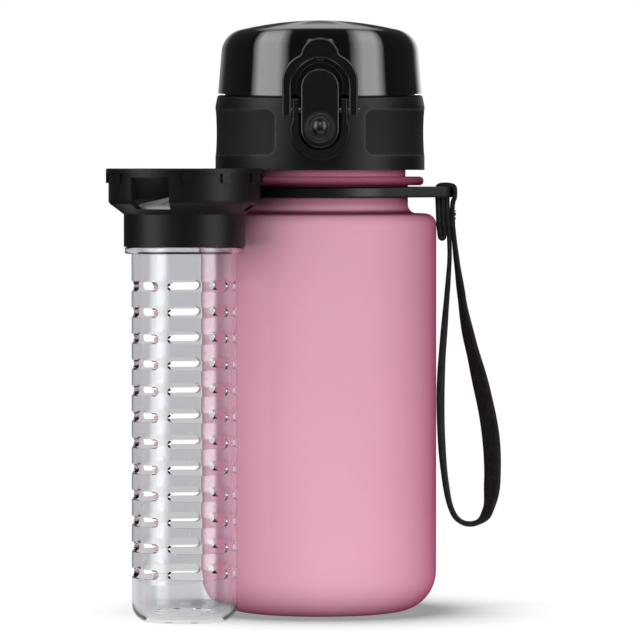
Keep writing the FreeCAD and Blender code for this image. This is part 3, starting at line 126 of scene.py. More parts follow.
# the room: white for the eye, dimmer through clear plastic. Gloss shows two tall softboxes beside the camera,
# a pale crown high up behind, a small glint over the camera and a rim of light on each side.
# A fade gives its direction, where it starts and ends, and the light at both. Across and up are the slopes
# of the surface that mirrors the light, off is across to either side, and back is the way from the camera.
room = {
    "fill": 0.10,
    "clear": 0.42,
    "clearMost": 3.6,
    "leastDepth": 0.0001,  # keeps the slopes finite
    "fades": {
        "leftBarOuter": ("across", -0.92, -0.75, 0, 1),
        "leftBarInner": ("across", -0.32, -0.46, 0, 1),
        "rightBarInner": ("across", 0.305, 0.477, 0, 1),
        "rightBarOuter": ("across", 0.852, 0.675, 0, 1),
        "barTop": ("up", 0.7, 2.1, 3.8, 0.456),
        "barFoot": ("up", -0.3, -0.05, 0, 1),
        "crownLow": ("up", 2.2, 3.2, 0, 0.55),
        "crownHigh": ("up", 7.5, 5.5, 0.3, 1),
        "crownSide": ("off", 1.3, 0.9, 0, 1),
        "glintSide": ("off", 0.14, 0.09, 0, 5.0),
        "glintLow": ("up", 0.26, 0.34, 0, 1),
        "glintHigh": ("up", 0.62, 0.5, 0, 1),
        "leftRim": ("across", -2.7, -4.5, 0.05, 0.27),
        "rightRim": ("across", 2.7, 4.5, 0.05, 0.9),
        "rimFoot": ("up", -0.15, -0.02, 0, 1),
        "backdrop": ("back", 0.0, 0.4, 0, 0.62),
    },
    "blends": [
        ("leftBar", "MULTIPLY", "leftBarOuter", "leftBarInner"),
        ("rightBar", "MULTIPLY", "rightBarInner", "rightBarOuter"),
        ("bars", "ADD", "leftBar", "rightBar"),
        ("barHeight", "MULTIPLY", "barTop", "barFoot"),
        ("softboxes", "MULTIPLY", "bars", "barHeight"),
        ("crownArc", "MULTIPLY", "crownLow", "crownHigh"),
        ("crown", "MULTIPLY", "crownArc", "crownSide"),
        ("upper", "MAXIMUM", "softboxes", "crown"),
        ("glintHeight", "MULTIPLY", "glintLow", "glintHigh"),
        ("glint", "MULTIPLY", "glintSide", "glintHeight"),
        ("lights", "MAXIMUM", "upper", "glint"),
        ("edges", "MAXIMUM", "leftRim", "rightRim"),
        ("rims", "MULTIPLY", "edges", "rimFoot"),
        ("gloss", "MAXIMUM", "lights", "rims"),
    ],
}
world = bpy.data.worlds.new("studioRoom")
scene.world = world
world.use_nodes = True
tree = world.node_tree
path = addNode(tree, "LightPath")
way = addNode(tree, "TexCoord")
axes = addNode(tree, "SeparateXYZ", links={"Vector": (way, "Generated")})
depth = addNode(tree, "Math", {"operation": "SUBTRACT", 0: 1.0}, {1: (axes, "Y")})
deep = addNode(tree, "Math", {"operation": "MAXIMUM", 1: room["leastDepth"]}, {0: (depth, 0)})
across = addNode(tree, "Math", {"operation": "DIVIDE"}, {0: (axes, "X"), 1: (deep, 0)})
up = addNode(tree, "Math", {"operation": "DIVIDE"}, {0: (axes, "Z"), 1: (deep, 0)})
off = addNode(tree, "Math", {"operation": "ABSOLUTE"}, {0: (across, 0)})
directions = {"across": (across, 0), "up": (up, 0), "off": (off, 0), "back": (axes, "Y")}
light = {}
for name, (direction, start, end, startLight, endLight) in room["fades"].items():
    fade = {"From Min": start, "From Max": end, "To Min": startLight, "To Max": endLight}
    light[name] = addNode(tree, "MapRange", fade, {"Value": directions[direction]})
for name, operation, first, second in room["blends"]:
    pair = {0: (light[first], 0), 1: (light[second], 0)}
    light[name] = addNode(tree, "Math", {"operation": operation}, pair)
dimmed = addNode(tree, "Math", {"operation": "MINIMUM", 1: room["clearMost"]}, {0: (light["gloss"], 0)})
behind = addNode(tree, "Math", {"operation": "MAXIMUM"}, {0: (dimmed, 0), 1: (light["backdrop"], 0)})
through = addNode(tree, "Math", {"operation": "MAXIMUM", 1: room["clear"]}, {0: (behind, 0)})
lit = addNode(tree, "Mix", {2: room["fill"]}, {0: (path, "Is Glossy Ray"), 3: (light["gloss"], 0)})
seen = addNode(tree, "Mix", links={0: (path, "Is Transmission Ray"), 2: (lit, 0), 3: (through, 0)})
white = addNode(tree, "Mix", {3: 1.0}, {0: (path, "Is Camera Ray"), 2: (seen, 0)})
tree.nodes["Background"].inputs["Color"].default_value = (1, 1, 1, 1)
tree.links.new(white.outputs[0], tree.nodes["Background"].inputs["Strength"])

# floor: white card that glows, for the eye and for the light it bounces, with a painted shadow where the
# object stands close over it. Dark and light each give how open the card is to the room, and its level there.
card = {
    "radius": 0.18,
    "corners": 96,
    "bounce": 0.8,
    "behind": 0.66,
    "shade": 0.11,
    "samples": 24,
    "dark": (0.6, 0.32),
    "light": (0.85, 1.03),
}
bpy.ops.object.select_all(action="DESELECT")
bpy.ops.mesh.primitive_circle_add(vertices=card["corners"], radius=card["radius"], fill_type="NGON")
floor = bpy.context.object
floor.name = "floorCard"
material = bpy.data.materials.new("white card")
material.use_nodes = True
tree = material.node_tree
tree.nodes.clear()
path = addNode(tree, "LightPath")
# painted shadow: the card's glow drops where the object stands close over it
near = addNode(tree, "AmbientOcclusion", {"samples": card["samples"], "Distance": card["shade"]})
(darkFrom, darkLevel), (lightFrom, lightLevel) = card["dark"], card["light"]
fade = {"From Min": darkFrom, "From Max": lightFrom, "To Min": darkLevel, "To Max": lightLevel}
shade = addNode(tree, "MapRange", fade, {"Value": (near, "AO")})
lower = addNode(tree, "Mix", {2: card["bounce"], 3: card["behind"]}, {0: (path, "Is Transmission Ray")})
level = addNode(tree, "Mix", {3: 1.0}, {0: (path, "Is Camera Ray"), 2: (lower, 0)})
glow = addNode(tree, "Math", {"operation": "MULTIPLY"}, {0: (shade, 0), 1: (level, 0)})
shine = addNode(tree, "Emission", {"Color": (1, 1, 1, 1)}, {"Strength": (glow, 0)})
addNode(tree, "OutputMaterial", links={"Surface": (shine, 0)})
floor.data.materials.append(material)
print("studio: lamps, room and floor card")

# Frosted copolyester: tinted clear moulding, etched on the outside. The etch scatters light, so it reads
# as satin; close under the dark lid the tint is seen through, so the neck turns plum. Its colour bands also
# hold painted shade: dark in the groove where the neck meets the shoulder, and dark on the neck's bead just
# above the swivel ring, under the lid.
frost = {
    "pink": "#dfbdc5",
    "pale": "#e4c3cb",
    "sheen": "#ff7098",
    "skin": "#ecd0de",
    "cloud": 26,
    "etch": 0.45,  # the real etch is near 0.1 mm, drawn coarser so that it shows
    "etchDepth": 0.05,
    "etchBump": 0.12,
    "rough": (0.48, 0.6),
    "neckFrom": 112.4,
    "neck": [
        (114.2, "#e6cbd5"),
        (115.3, "#7b5261"),
        (116.3, "#d0b0ba"),
        (118.4, "#a98390"),
        (123.4, "#663747"),
        (124.6, "#8f6070"),
        (125.8, "#c18b99"),
    ],
}
frosted, tree, shader, place = newMaterial(
    "frosted copolyester",
    {
        "IOR": 1.5,
        "Specular IOR Level": 0.9,
        "Coat Weight": 1,  # the tinted skin over the etch, deeper in colour where it is seen aslant
        "Coat Roughness": 0.5,
        "Coat IOR": 1.02,
        "Coat Tint": linear(frost["skin"]),
        "Specular Tint": linear(frost["sheen"]),
        "Subsurface Weight": 0.15,
        "Subsurface Scale": 0.005,
    },
)
axes = addNode(tree, "SeparateXYZ", links={"Vector": (place, "Object")})
noise = {"Scale": 1 / (frost["cloud"] * mm), "Detail": 1}
cloud = addNode(tree, "TexNoise", noise, {"Vector": (place, "Object")})
tints = {"data_type": "RGBA", 6: linear(frost["pink"]), 7: linear(frost["pale"])}
hue = addNode(tree, "Mix", tints, {0: (cloud, "Fac")})
# the neck's bands: the tint seen through to the dark liner, with painted shade in the shoulder groove and
# above the swivel ring
below = frost["neckFrom"]
for top, colour in frost["neck"]:
    rise = {"interpolation_type": "SMOOTHSTEP", "From Min": below * mm, "From Max": top * mm}
    up = addNode(tree, "MapRange", rise, {"Value": (axes, "Z")})
    hue = addNode(tree, "Mix", {"data_type": "RGBA", 7: linear(colour)}, {0: (up, "Result"), 6: (hue, 2)})
    below = top
tree.links.new(hue.outputs[2], shader.inputs["Base Color"])
noise = {"Scale": 1 / (frost["etch"] * mm), "Detail": 2}
etch = addNode(tree, "TexNoise", noise, {"Vector": (place, "Object")})
smooth, coarse = frost["rough"]
rough = addNode(tree, "MapRange", {"To Min": smooth, "To Max": coarse}, {"Value": (etch, "Fac")})
tree.links.new(rough.outputs[0], shader.inputs["Roughness"])
relief = {"Strength": frost["etchBump"], "Distance": frost["etchDepth"] * mm}
grain = addNode(tree, "Bump", relief, {"Height": (etch, "Fac")})
tree.links.new(grain.outputs[0], shader.inputs["Normal"])

# Moulded polypropylene: black, from a satin mould with a coarser spark-eroded grip on each side, so the rings
# shine softly and the grips are dull; the edge between them has a patchy painted highlight, paler where it
# would catch the light.
sparks = {
    "black": "#0d0d0e",
    "edgeHighlight": "#2c2c2e",
    "grain": 0.4,  # real spark marks are near 0.1 mm, drawn coarser so that they show
    "grainDepth": 0.06,
    "grainBump": 0.15,
    "satin": (0.36, 0.46),
    "dull": (0.52, 0.66),
    "lidReach": 30.6,  # beyond this is the infuser's head, which has no grips
    "gripFront": 12.7,
    "gripLow": 131.6,
    "gripHigh": 144.7,
    "gripRound": 2.6,
    "gripFade": (0.1, -0.3),
    "edge": (0.45, 0.1),
    "breakup": 2.5,
    "breakupFrom": (0.3, 0.7),
    "breakupTo": (0.35, 1),
}
matteBlack, tree, shader, place = newMaterial(
    "moulded polypropylene", {"IOR": 1.49, "Specular IOR Level": 0.23}
)
noise = {"Scale": 1 / (sparks["grain"] * mm), "Detail": 3}
spark = addNode(tree, "TexNoise", noise, {"Vector": (place, "Object")})
axes = addNode(tree, "SeparateXYZ", links={"Vector": (place, "Object")})
flatWay = addNode(tree, "CombineXYZ", links={"X": (axes, "X"), "Y": (axes, "Y")})
reach = addNode(tree, "VectorMath", {"operation": "LENGTH"}, {0: (flatWay, 0)})
onLid = addNode(tree, "Math", {"operation": "LESS_THAN", 1: sparks["lidReach"] * mm}, {0: (reach, "Value")})
aside = addNode(tree, "Math", {"operation": "ABSOLUTE"}, {0: (axes, "X")})
gripStart = sparks["gripFront"] + sparks["gripRound"]
inward = addNode(tree, "Math", {"operation": "SUBTRACT", 0: gripStart * mm}, {1: (aside, 0)})
gripMiddle = (sparks["gripLow"] + sparks["gripHigh"]) / 2
level = addNode(tree, "Math", {"operation": "SUBTRACT", 1: gripMiddle * mm}, {0: (axes, "Z")})
away = addNode(tree, "Math", {"operation": "ABSOLUTE"}, {0: (level, 0)})
gripHalf = sparks["gripHigh"] - gripMiddle - sparks["gripRound"]
beyond = addNode(tree, "Math", {"operation": "SUBTRACT", 1: gripHalf * mm}, {0: (away, 0)})
corner = addNode(tree, "CombineXYZ", links={"X": (inward, 0), "Y": (beyond, 0)})
clipped = addNode(tree, "VectorMath", {"operation": "MAXIMUM", 1: (0, 0, 0)}, {0: (corner, 0)})
outside = addNode(tree, "VectorMath", {"operation": "LENGTH"}, {0: (clipped, 0)})
rounding = {"operation": "SUBTRACT", 1: sparks["gripRound"] * mm}
fromEdge = addNode(tree, "Math", rounding, {0: (outside, "Value")})
start, end = sparks["gripFade"]
inGrip = addNode(tree, "MapRange", {"From Min": start * mm, "From Max": end * mm}, {"Value": (fromEdge, 0)})
grip = addNode(tree, "Math", {"operation": "MULTIPLY"}, {0: (inGrip, 0), 1: (onLid, 0)})
# painted highlight: the grip's rim is painted paler in patches, where its edge would catch the light
offEdge = addNode(tree, "Math", {"operation": "ABSOLUTE"}, {0: (fromEdge, 0)})
start, end = sparks["edge"]
onEdge = addNode(tree, "MapRange", {"From Min": start * mm, "From Max": end * mm}, {"Value": (offEdge, 0)})
noise = {"Scale": 1 / (sparks["breakup"] * mm), "Detail": 2}
breakup = addNode(tree, "TexNoise", noise, {"Vector": (place, "Object")})
(start, end), (least, most) = sparks["breakupFrom"], sparks["breakupTo"]
fade = {"From Min": start, "From Max": end, "To Min": least, "To Max": most}
highlightBreakup = addNode(tree, "MapRange", fade, {"Value": (breakup, "Fac")})
patchyHighlight = addNode(tree, "Math", {"operation": "MULTIPLY"}, {0: (onEdge, 0), 1: (highlightBreakup, 0)})
paintedEdgeHighlight = addNode(tree, "Math", {"operation": "MULTIPLY"}, {0: (patchyHighlight, 0), 1: (onLid, 0)})
tints = {"data_type": "RGBA", 6: linear(sparks["black"]), 7: linear(sparks["edgeHighlight"])}
hue = addNode(tree, "Mix", tints, {0: (paintedEdgeHighlight, 0)})
tree.links.new(hue.outputs[2], shader.inputs["Base Color"])
smooth, coarse = sparks["satin"]
satin = addNode(tree, "MapRange", {"To Min": smooth, "To Max": coarse}, {"Value": (spark, "Fac")})
smooth, coarse = sparks["dull"]
dull = addNode(tree, "MapRange", {"To Min": smooth, "To Max": coarse}, {"Value": (spark, "Fac")})
rough = addNode(tree, "Mix", links={0: (grip, 0), 2: (satin, 0), 3: (dull, 0)})
tree.links.new(rough.outputs[0], shader.inputs["Roughness"])
relief = {"Strength": sparks["grainBump"], "Distance": sparks["grainDepth"] * mm}
grain = addNode(tree, "Bump", relief, {"Height": (spark, "Fac")})
tree.links.new(grain.outputs[0], shader.inputs["Normal"])

# Polished ABS: black, from a mirror-finished mould, with a faint moulded ripple and a breath of haze.
mirrorFinish = {
    "black": "#050505",
    "haze": 5,
    "rough": (0.04, 0.10),
    "ripple": 14,
    "rippleDepth": 0.1,
    "rippleBump": 0.05,
}
glossBlack, tree, shader, place = newMaterial(
    "polished ABS",
    {"Base Color": linear(mirrorFinish["black"]), "IOR": 1.54, "Coat Weight": 0.8, "Coat Roughness": 0.03},
)
noise = {"Scale": 1 / (mirrorFinish["haze"] * mm), "Detail": 4}
haze = addNode(tree, "TexNoise", noise, {"Vector": (place, "Object")})
smooth, coarse = mirrorFinish["rough"]
rough = addNode(tree, "MapRange", {"To Min": smooth, "To Max": coarse}, {"Value": (haze, "Fac")})
tree.links.new(rough.outputs[0], shader.inputs["Roughness"])
noise = {"Scale": 1 / (mirrorFinish["ripple"] * mm), "Detail": 0}
wave = addNode(tree, "TexNoise", noise, {"Vector": (place, "Object")})
relief = {"Strength": mirrorFinish["rippleBump"], "Distance": mirrorFinish["rippleDepth"] * mm}
ripple = addNode(tree, "Bump", relief, {"Height": (wave, "Fac")})
tree.links.new(ripple.outputs[0], shader.inputs["Normal"])

# Satin ABS: black, from a fine-stoned mould, smoother than the lid and softer than the cap. Its edges are
# shaded
# as rounded and carry a painted highlight: the more the softened normal turns from the true one, the paler.
stoned = {
    "black": "#0b0b0c",
    "rimHighlight": "#4a4a4c",
    "grain": 0.3,  # real stone marks are under 0.1 mm, drawn coarser so that they show
    "grainDepth": 0.04,
    "grainBump": 0.08,
    "rough": (0.27, 0.37),
    "edge": 0.24,
    "turned": (0.99, 0.86),
}
satinBlack, tree, shader, place = newMaterial("satin ABS", {"IOR": 1.54})
noise = {"Scale": 1 / (stoned["grain"] * mm), "Detail": 2}
stone = addNode(tree, "TexNoise", noise, {"Vector": (place, "Object")})
smooth, coarse = stoned["rough"]
rough = addNode(tree, "MapRange", {"To Min": smooth, "To Max": coarse}, {"Value": (stone, "Fac")})
tree.links.new(rough.outputs[0], shader.inputs["Roughness"])
softened = addNode(tree, "Bevel", {"samples": 8, "Radius": stoned["edge"] * mm})
facing = addNode(tree, "NewGeometry")
# painted highlight: edges and groove rims are painted paler where the softened normal turns away
along = addNode(tree, "VectorMath", {"operation": "DOT_PRODUCT"}, {0: (softened, 0), 1: (facing, "Normal")})
start, end = stoned["turned"]
rimHighlightMask = addNode(tree, "MapRange", {"From Min": start, "From Max": end}, {"Value": (along, "Value")})
tints = {"data_type": "RGBA", 6: linear(stoned["black"]), 7: linear(stoned["rimHighlight"])}
hue = addNode(tree, "Mix", tints, {0: (rimHighlightMask, 0)})
tree.links.new(hue.outputs[2], shader.inputs["Base Color"])
relief = {"Strength": stoned["grainBump"], "Distance": stoned["grainDepth"] * mm}
grain = addNode(tree, "Bump", relief, {"Height": (stone, "Fac"), "Normal": (softened, 0)})
tree.links.new(grain.outputs[0], shader.inputs["Normal"])

# Nylon: the swivel ring, springy and slightly waxy. Its fine grain is drawn coarser so that it shows.
waxy = {"black": "#080909", "grain": 0.5, "grainDepth": 0.04, "grainBump": 0.08, "rough": (0.34, 0.46)}
nylonBlack, tree, shader, place = newMaterial(
    "moulded nylon", {"Base Color": linear(waxy["black"]), "IOR": 1.53, "Specular IOR Level": 0.42}
)
noise = {"Scale": 1 / (waxy["grain"] * mm), "Detail": 2}
wax = addNode(tree, "TexNoise", noise, {"Vector": (place, "Object")})
smooth, coarse = waxy["rough"]
rough = addNode(tree, "MapRange", {"To Min": smooth, "To Max": coarse}, {"Value": (wax, "Fac")})
tree.links.new(rough.outputs[0], shader.inputs["Roughness"])
relief = {"Strength": waxy["grainBump"], "Distance": waxy["grainDepth"] * mm}
grain = addNode(tree, "Bump", relief, {"Height": (wax, "Fac")})
tree.links.new(grain.outputs[0], shader.inputs["Normal"])

# Stainless steel: drawn wire for the hinge pin and the springs, with fine lines along the pin.
drawn = {"steel": "#c8c9cb", "line": 0.08, "run": 3, "rough": (0.14, 0.3)}
steel, tree, shader, place = newMaterial(
    "drawn stainless steel", {"Base Color": linear(drawn["steel"]), "Metallic": 1}
)
stretch = (1 / (drawn["run"] * mm), 1 / (drawn["line"] * mm), 1 / (drawn["line"] * mm))
along = addNode(tree, "Mapping", {"Scale": stretch}, {"Vector": (place, "Object")})
lines = addNode(tree, "TexNoise", {"Scale": 1, "Detail": 2}, {"Vector": (along, 0)})
smooth, coarse = drawn["rough"]
rough = addNode(tree, "MapRange", {"To Min": smooth, "To Max": coarse}, {"Value": (lines, "Fac")})
tree.links.new(rough.outputs[0], shader.inputs["Roughness"])

# Blackened steel: the latch pin, oxidised so that it stays quiet beside the black lid. The specks
# of oxide are drawn coarser so that they show.
oxide = {"grey": "#5a5b5e", "grain": 0.2, "rough": (0.25, 0.4)}
darkSteel, tree, shader, place = newMaterial(
    "blackened steel", {"Base Color": linear(oxide["grey"]), "Metallic": 1}
)
noise = {"Scale": 1 / (oxide["grain"] * mm), "Detail": 2}
speck = addNode(tree, "TexNoise", noise, {"Vector": (place, "Object")})
smooth, coarse = oxide["rough"]
rough = addNode(tree, "MapRange", {"To Min": smooth, "To Max": coarse}, {"Value": (speck, "Fac")})
tree.links.new(rough.outputs[0], shader.inputs["Roughness"])

# Silicone: the seals, cast, dull and faintly translucent.
cast = {"grey": "#b9b6b1", "shade": "#a9a6a2", "cloud": 4}
silicone, tree, shader, place = newMaterial(
    "silicone rubber",
    {"Roughness": 0.55, "IOR": 1.41, "Subsurface Weight": 0.25, "Subsurface Scale": 0.002},
)
cloud = addNode(tree, "TexNoise", {"Scale": 1 / (cast["cloud"] * mm)}, {"Vector": (place, "Object")})
tints = {"data_type": "RGBA", 6: linear(cast["grey"]), 7: linear(cast["shade"])}
hue = addNode(tree, "Mix", tints, {0: (cloud, "Fac")})
tree.links.new(hue.outputs[2], shader.inputs["Base Color"])

# Clear copolyester: the infuser tube. Bright and hard, with the slow ripple of a long moulding.
clearFinish = {"tint": "#f5f6f9", "ripple": 30, "rippleDepth": 0.2, "rippleBump": 0.04}
clearPlastic, tree, shader, place = newMaterial(
    "clear copolyester",
    {"Base Color": linear(clearFinish["tint"]), "Roughness": 0.02, "IOR": 1.5, "Transmission Weight": 1},
)
noise = {"Scale": 1 / (clearFinish["ripple"] * mm), "Detail": 1}
wave = addNode(tree, "TexNoise", noise, {"Vector": (place, "Object")})
relief = {"Strength": clearFinish["rippleBump"], "Distance": clearFinish["rippleDepth"] * mm}
ripple = addNode(tree, "Bump", relief, {"Height": (wave, "Fac")})
tree.links.new(ripple.outputs[0], shader.inputs["Normal"])

# Natural polypropylene: the strainer, undyed, so milky grey and soft-edged.
natural = {"milk": "#bdbab8", "shade": "#aeabaa", "cloud": 3}
milkyPlastic, tree, shader, place = newMaterial(
    "natural polypropylene",
    {"Roughness": 0.45, "IOR": 1.49, "Subsurface Weight": 0.2, "Subsurface Scale": 0.003},
)
cloud = addNode(tree, "TexNoise", {"Scale": 1 / (natural["cloud"] * mm)}, {"Vector": (place, "Object")})
tints = {"data_type": "RGBA", 6: linear(natural["milk"]), 7: linear(natural["shade"])}
hue = addNode(tree, "Mix", tints, {0: (cloud, "Fac")})
tree.links.new(hue.outputs[2], shader.inputs["Base Color"])

# Polyester webbing: black, woven in ribs, each rib a run of short floats, each painted between a lit and a
# shaded
# tone of the black: painted highlight where the floats catch the light.
# The chart is in millimetres along and across the strap.
weave = {
    "black": "#050506",
    "float": "#1d1d20",
    "shadedFloat": "#0d0d0e",
    "length": 1.5,
    "row": 0.62,
    "gap": 0.1,
    "rise": 0.16,
    "bump": 0.8,
}
webbingBlack, tree, shader, place = newMaterial(
    "polyester webbing", {"Roughness": 0.75, "IOR": 1.55, "Specular IOR Level": 0.25}
)
chart = addNode(tree, "UVMap", {"uv_map": "weave"})
# painted highlight: floats in lit and shaded tones of one black; the gaps between them stay black
floats = addNode(
    tree,
    "TexBrick",
    {
        "Color1": linear(weave["float"]),
        "Color2": linear(weave["shadedFloat"]),
        "Mortar": linear(weave["black"]),
        "Scale": 1,
        "Brick Width": weave["length"],
        "Row Height": weave["row"],
        "Mortar Size": weave["gap"],
        "Mortar Smooth": 1,
    },
    {"Vector": (chart, 0)},
)
tree.links.new(floats.outputs["Color"], shader.inputs["Base Color"])
relief = {"Strength": weave["bump"], "Distance": weave["rise"] * mm, "invert": True}
ribs = addNode(tree, "Bump", relief, {"Height": (floats, "Fac")})
tree.links.new(ribs.outputs[0], shader.inputs["Normal"])

# Polyester sewing thread: twisted, so each stitch shows slanting plies, drawn as stripes of painted highlight
# across the black.
ply = {"black": "#252528", "light": "#47474c", "twist": 0.35, "slant": (0.6, 0.5, 0.6)}
waveUnit = 0.31  # a wave texture of scale 1 repeats at about this length
threadBlack, tree, shader, place = newMaterial("polyester thread", {"Roughness": 0.6, "IOR": 1.55})
slant = addNode(tree, "Mapping", {"Rotation": ply["slant"]}, {"Vector": (place, "Object")})
plies = addNode(tree, "TexWave", {"Scale": waveUnit / (ply["twist"] * mm)}, {"Vector": (slant, 0)})
tints = {"data_type": "RGBA", 6: linear(ply["black"]), 7: linear(ply["light"])}
hue = addNode(tree, "Mix", tints, {0: (plies, "Fac")})
tree.links.new(hue.outputs[2], shader.inputs["Base Color"])
print("materials:", len(bpy.data.materials))

# finishes on the solids
finishes = {
    "bottle_shell": frosted,
    "strap_ring": nylonBlack,
    "lid_shell": matteBlack,
    "lid_liner": matteBlack,
    "lid_gasket": silicone,
    "drinking_spout": satinBlack,
    "cap_shell": glossBlack,
    "cap_liner": satinBlack,
    "cap_seal": silicone,
    "hinge_pin": steel,
    "hinge_spring": steel,
    "latch_pin": darkSteel,
    "latch_spring": steel,
    "latch_button": satinBlack,
    "lock_bail": satinBlack,
    "infuser_head": matteBlack,
    "strainer": milkyPlastic,
}
for name, material in finishes.items():
    nodes[name].data.materials.clear()
    nodes[name].data.materials.append(material)
print("finishes:", len(finishes), "solids dressed")

# turned forms: a four-cornered section, radius and height at each corner, swept round the axis
turning = {"step": 5, "corners": 4, "crease": 35}


def turnSection(name, section, degrees, rise, start, finish):
    bpy.ops.object.select_all(action="DESELECT")
    bpy.ops.mesh.primitive_plane_add(size=mm)
    piece = bpy.context.object
    piece.name = name
    turn = math.radians(start)
    for vertex in piece.data.vertices:
        radius, up = section[(vertex.co.x > 0, vertex.co.y > 0)]
        vertex.co = (radius * mm * math.cos(turn), radius * mm * math.sin(turn), up * mm)
    sweep = piece.modifiers.new("sweep", "SCREW")
    sweep.angle = math.radians(degrees)
    sweep.screw_offset = rise * mm
    sweep.steps = sweep.render_steps = int(degrees / turning["step"])
    bpy.ops.object.modifier_apply(modifier="sweep")
    piece.data.materials.append(finish)
    return piece


def closeHoles(piece, sides):
    pick(piece)
    bpy.ops.object.mode_set(mode="EDIT")
    bpy.ops.mesh.select_all(action="SELECT")
    bpy.ops.mesh.remove_doubles(threshold=weldGap)
    bpy.ops.mesh.select_all(action="SELECT")
    bpy.ops.mesh.fill_holes(sides=sides)
    bpy.ops.mesh.select_all(action="SELECT")
    bpy.ops.mesh.normals_make_consistent(inside=False)
    bpy.ops.object.mode_set(mode="OBJECT")


# screw thread: one run round the neck, and its mate in the liner half a turn on
thread = {
    "lead": 7.0,
    "degrees": 360,
    "middle": 131.4,
    "root": 1.1,
    "crest": 0.5,
    "fade": 45,
    "stub": 0.15,
    "runs": {
        "neckThread": {
            "root": 24.5, "crest": 25.2, "start": 0,
            "body": "bottle", "slot": "frosted_pink", "finish": frosted,
        },
        "linerThread": {
            "root": 25.75, "crest": 25.0, "start": 180,
            "body": "lid", "slot": "matte_black", "finish": matteBlack,
        },
    },
}
for name, run in thread["runs"].items():
    section = {}
    for outer, edge in ((True, "crest"), (False, "root")):
        for upper, sign in ((True, 1), (False, -1)):
            section[(outer, upper)] = (run[edge], thread["middle"] + sign * thread[edge])
    rise = thread["lead"] * thread["degrees"] / 360
    ridge = turnSection(name, section, thread["degrees"], rise, run["start"], run["finish"])
    rings = len(ridge.data.vertices) // turning["corners"]
    wall = run["root"] * mm
    for index, vertex in enumerate(ridge.data.vertices):  # both ends run out into the wall
        ring = index // turning["corners"]
        gone = min(ring, rings - 1 - ring) * thread["degrees"] / (rings - 1)
        share = min(1, gone / thread["fade"])
        radius = vertex.co.xy.length
        wanted = wall + (radius - wall) * (thread["stub"] + (1 - thread["stub"]) * share)
        vertex.co.x *= wanted / radius
        vertex.co.y *= wanted / radius
    closeHoles(ridge, turning["corners"])
    bpy.ops.object.shade_smooth_by_angle(angle=math.radians(turning["crease"]))
    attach(ridge, run["body"])
    print("screw thread:", name, "rises", rise, "mm")

# lip inside the seam on each side, which keeps dust out of the cap
lip = {
    "inner": 27.3,
    "outer": 27.7,
    "foot": 145.5,
    "top": 149.25,
    "lead": 0.25,
    "degrees": 125,
    "starts": {"seamLipRight": -69, "seamLipLeft": 124},
}
section = {
    (True, True): (lip["outer"] - lip["lead"], lip["top"]),
    (True, False): (lip["outer"], lip["foot"]),
    (False, True): (lip["inner"], lip["top"]),
    (False, False): (lip["inner"], lip["foot"]),
}
for name, start in lip["starts"].items():
    rim = turnSection(name, section, lip["degrees"], 0, start, matteBlack)
    closeHoles(rim, turning["corners"])
    bpy.ops.object.shade_smooth_by_angle(angle=math.radians(turning["crease"]))
    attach(rim, "lid")
print("turned forms: threads and seam lips")

# infuser tube: turned, then slotted level by level and drained through the floor
tube = {
    "place": (-38.2, -37.0),
    "turn": -116.5,
    "steps": 160,
    "crease": 30,
    "outer": 14.9,
    "wall": 1.3,
    "floor": 1.8,
    "core": 3.0,  # the middle of the floor, closed after the turning
    "foot": {"round": 5, "steps": 6},
    "slotted": (12, 97),  # the stretch of wall that holds the slots
    "bead": {"radius": 16.8, "low": 103.85, "high": 105.75, "round": 0.5, "steps": 2},
    "collar": {"radius": 15.5, "top": 113.15, "bevel": 0.25, "lead": 0.2},
    "slot": {
        "first": 14.0,
        "pitch": 7.34,
        "levels": 12,
        "round": 4,
        "half": 8.65,
        "opening": 2.85,
        "bearing": 47.4,
        "cutLength": 11,
        "cutMiddle": 12,
        "corners": 24,
    },
    "drain": {"count": 8, "inner": 5.6, "outer": 8.8, "half": 1.0, "depth": 6},
}


def roundCorner(across, up, radius, start, end, steps):
    turns = [math.radians(start + (end - start) * step / steps) for step in range(steps + 1)]
    return [(across + radius * math.cos(turn), up + radius * math.sin(turn)) for turn in turns]


foot, bead, collar = tube["foot"], tube["bead"], tube["collar"]
slot, drain = tube["slot"], tube["drain"]
outer, inner = tube["outer"], tube["outer"] - tube["wall"]
low, high = tube["slotted"]
flatReach = outer - foot["round"]
floorRound = inner - flatReach
beadMiddle = bead["radius"] - bead["round"]
profile = [
    # the foot and the outer wall
    (tube["core"], 0),
    *roundCorner(flatReach, foot["round"], foot["round"], -90, 0, foot["steps"]),
    (outer, low),
    (outer, high),
    (outer, bead["low"]),
    # the bead and the collar that holds the head
    *roundCorner(beadMiddle, bead["low"] + bead["round"], bead["round"], -90, 0, bead["steps"]),
    *roundCorner(beadMiddle, bead["high"] - bead["round"], bead["round"], 0, 90, bead["steps"]),
    (collar["radius"], bead["high"]),
    (collar["radius"], collar["top"] - collar["bevel"]),
    (collar["radius"] - collar["bevel"], collar["top"]),
    (inner + collar["lead"], collar["top"]),
    (inner, collar["top"] - collar["lead"]),
    # the inner wall and the floor
    (inner, high),
    (inner, low),
    *roundCorner(flatReach, tube["floor"] + floorRound, floorRound, 0, -90, foot["steps"]),
    (tube["core"], tube["floor"]),
]
bpy.ops.object.select_all(action="DESELECT")
bpy.ops.mesh.primitive_plane_add(size=mm)
basket = bpy.context.object
basket.name = "infuserTube"
bpy.ops.object.mode_set(mode="EDIT")
bpy.ops.mesh.select_all(action="SELECT")
bpy.ops.mesh.merge(type="CENTER")
radius, up = profile[0]
bpy.ops.transform.translate(value=(radius * mm, 0, up * mm))
for nextRadius, nextUp in profile[1:]:
    step = ((nextRadius - radius) * mm, 0, (nextUp - up) * mm)
    bpy.ops.mesh.extrude_vertices_move(TRANSFORM_OT_translate={"value": step})
    radius, up = nextRadius, nextUp
bpy.ops.object.mode_set(mode="OBJECT")
sweep = basket.modifiers.new("sweep", "SCREW")
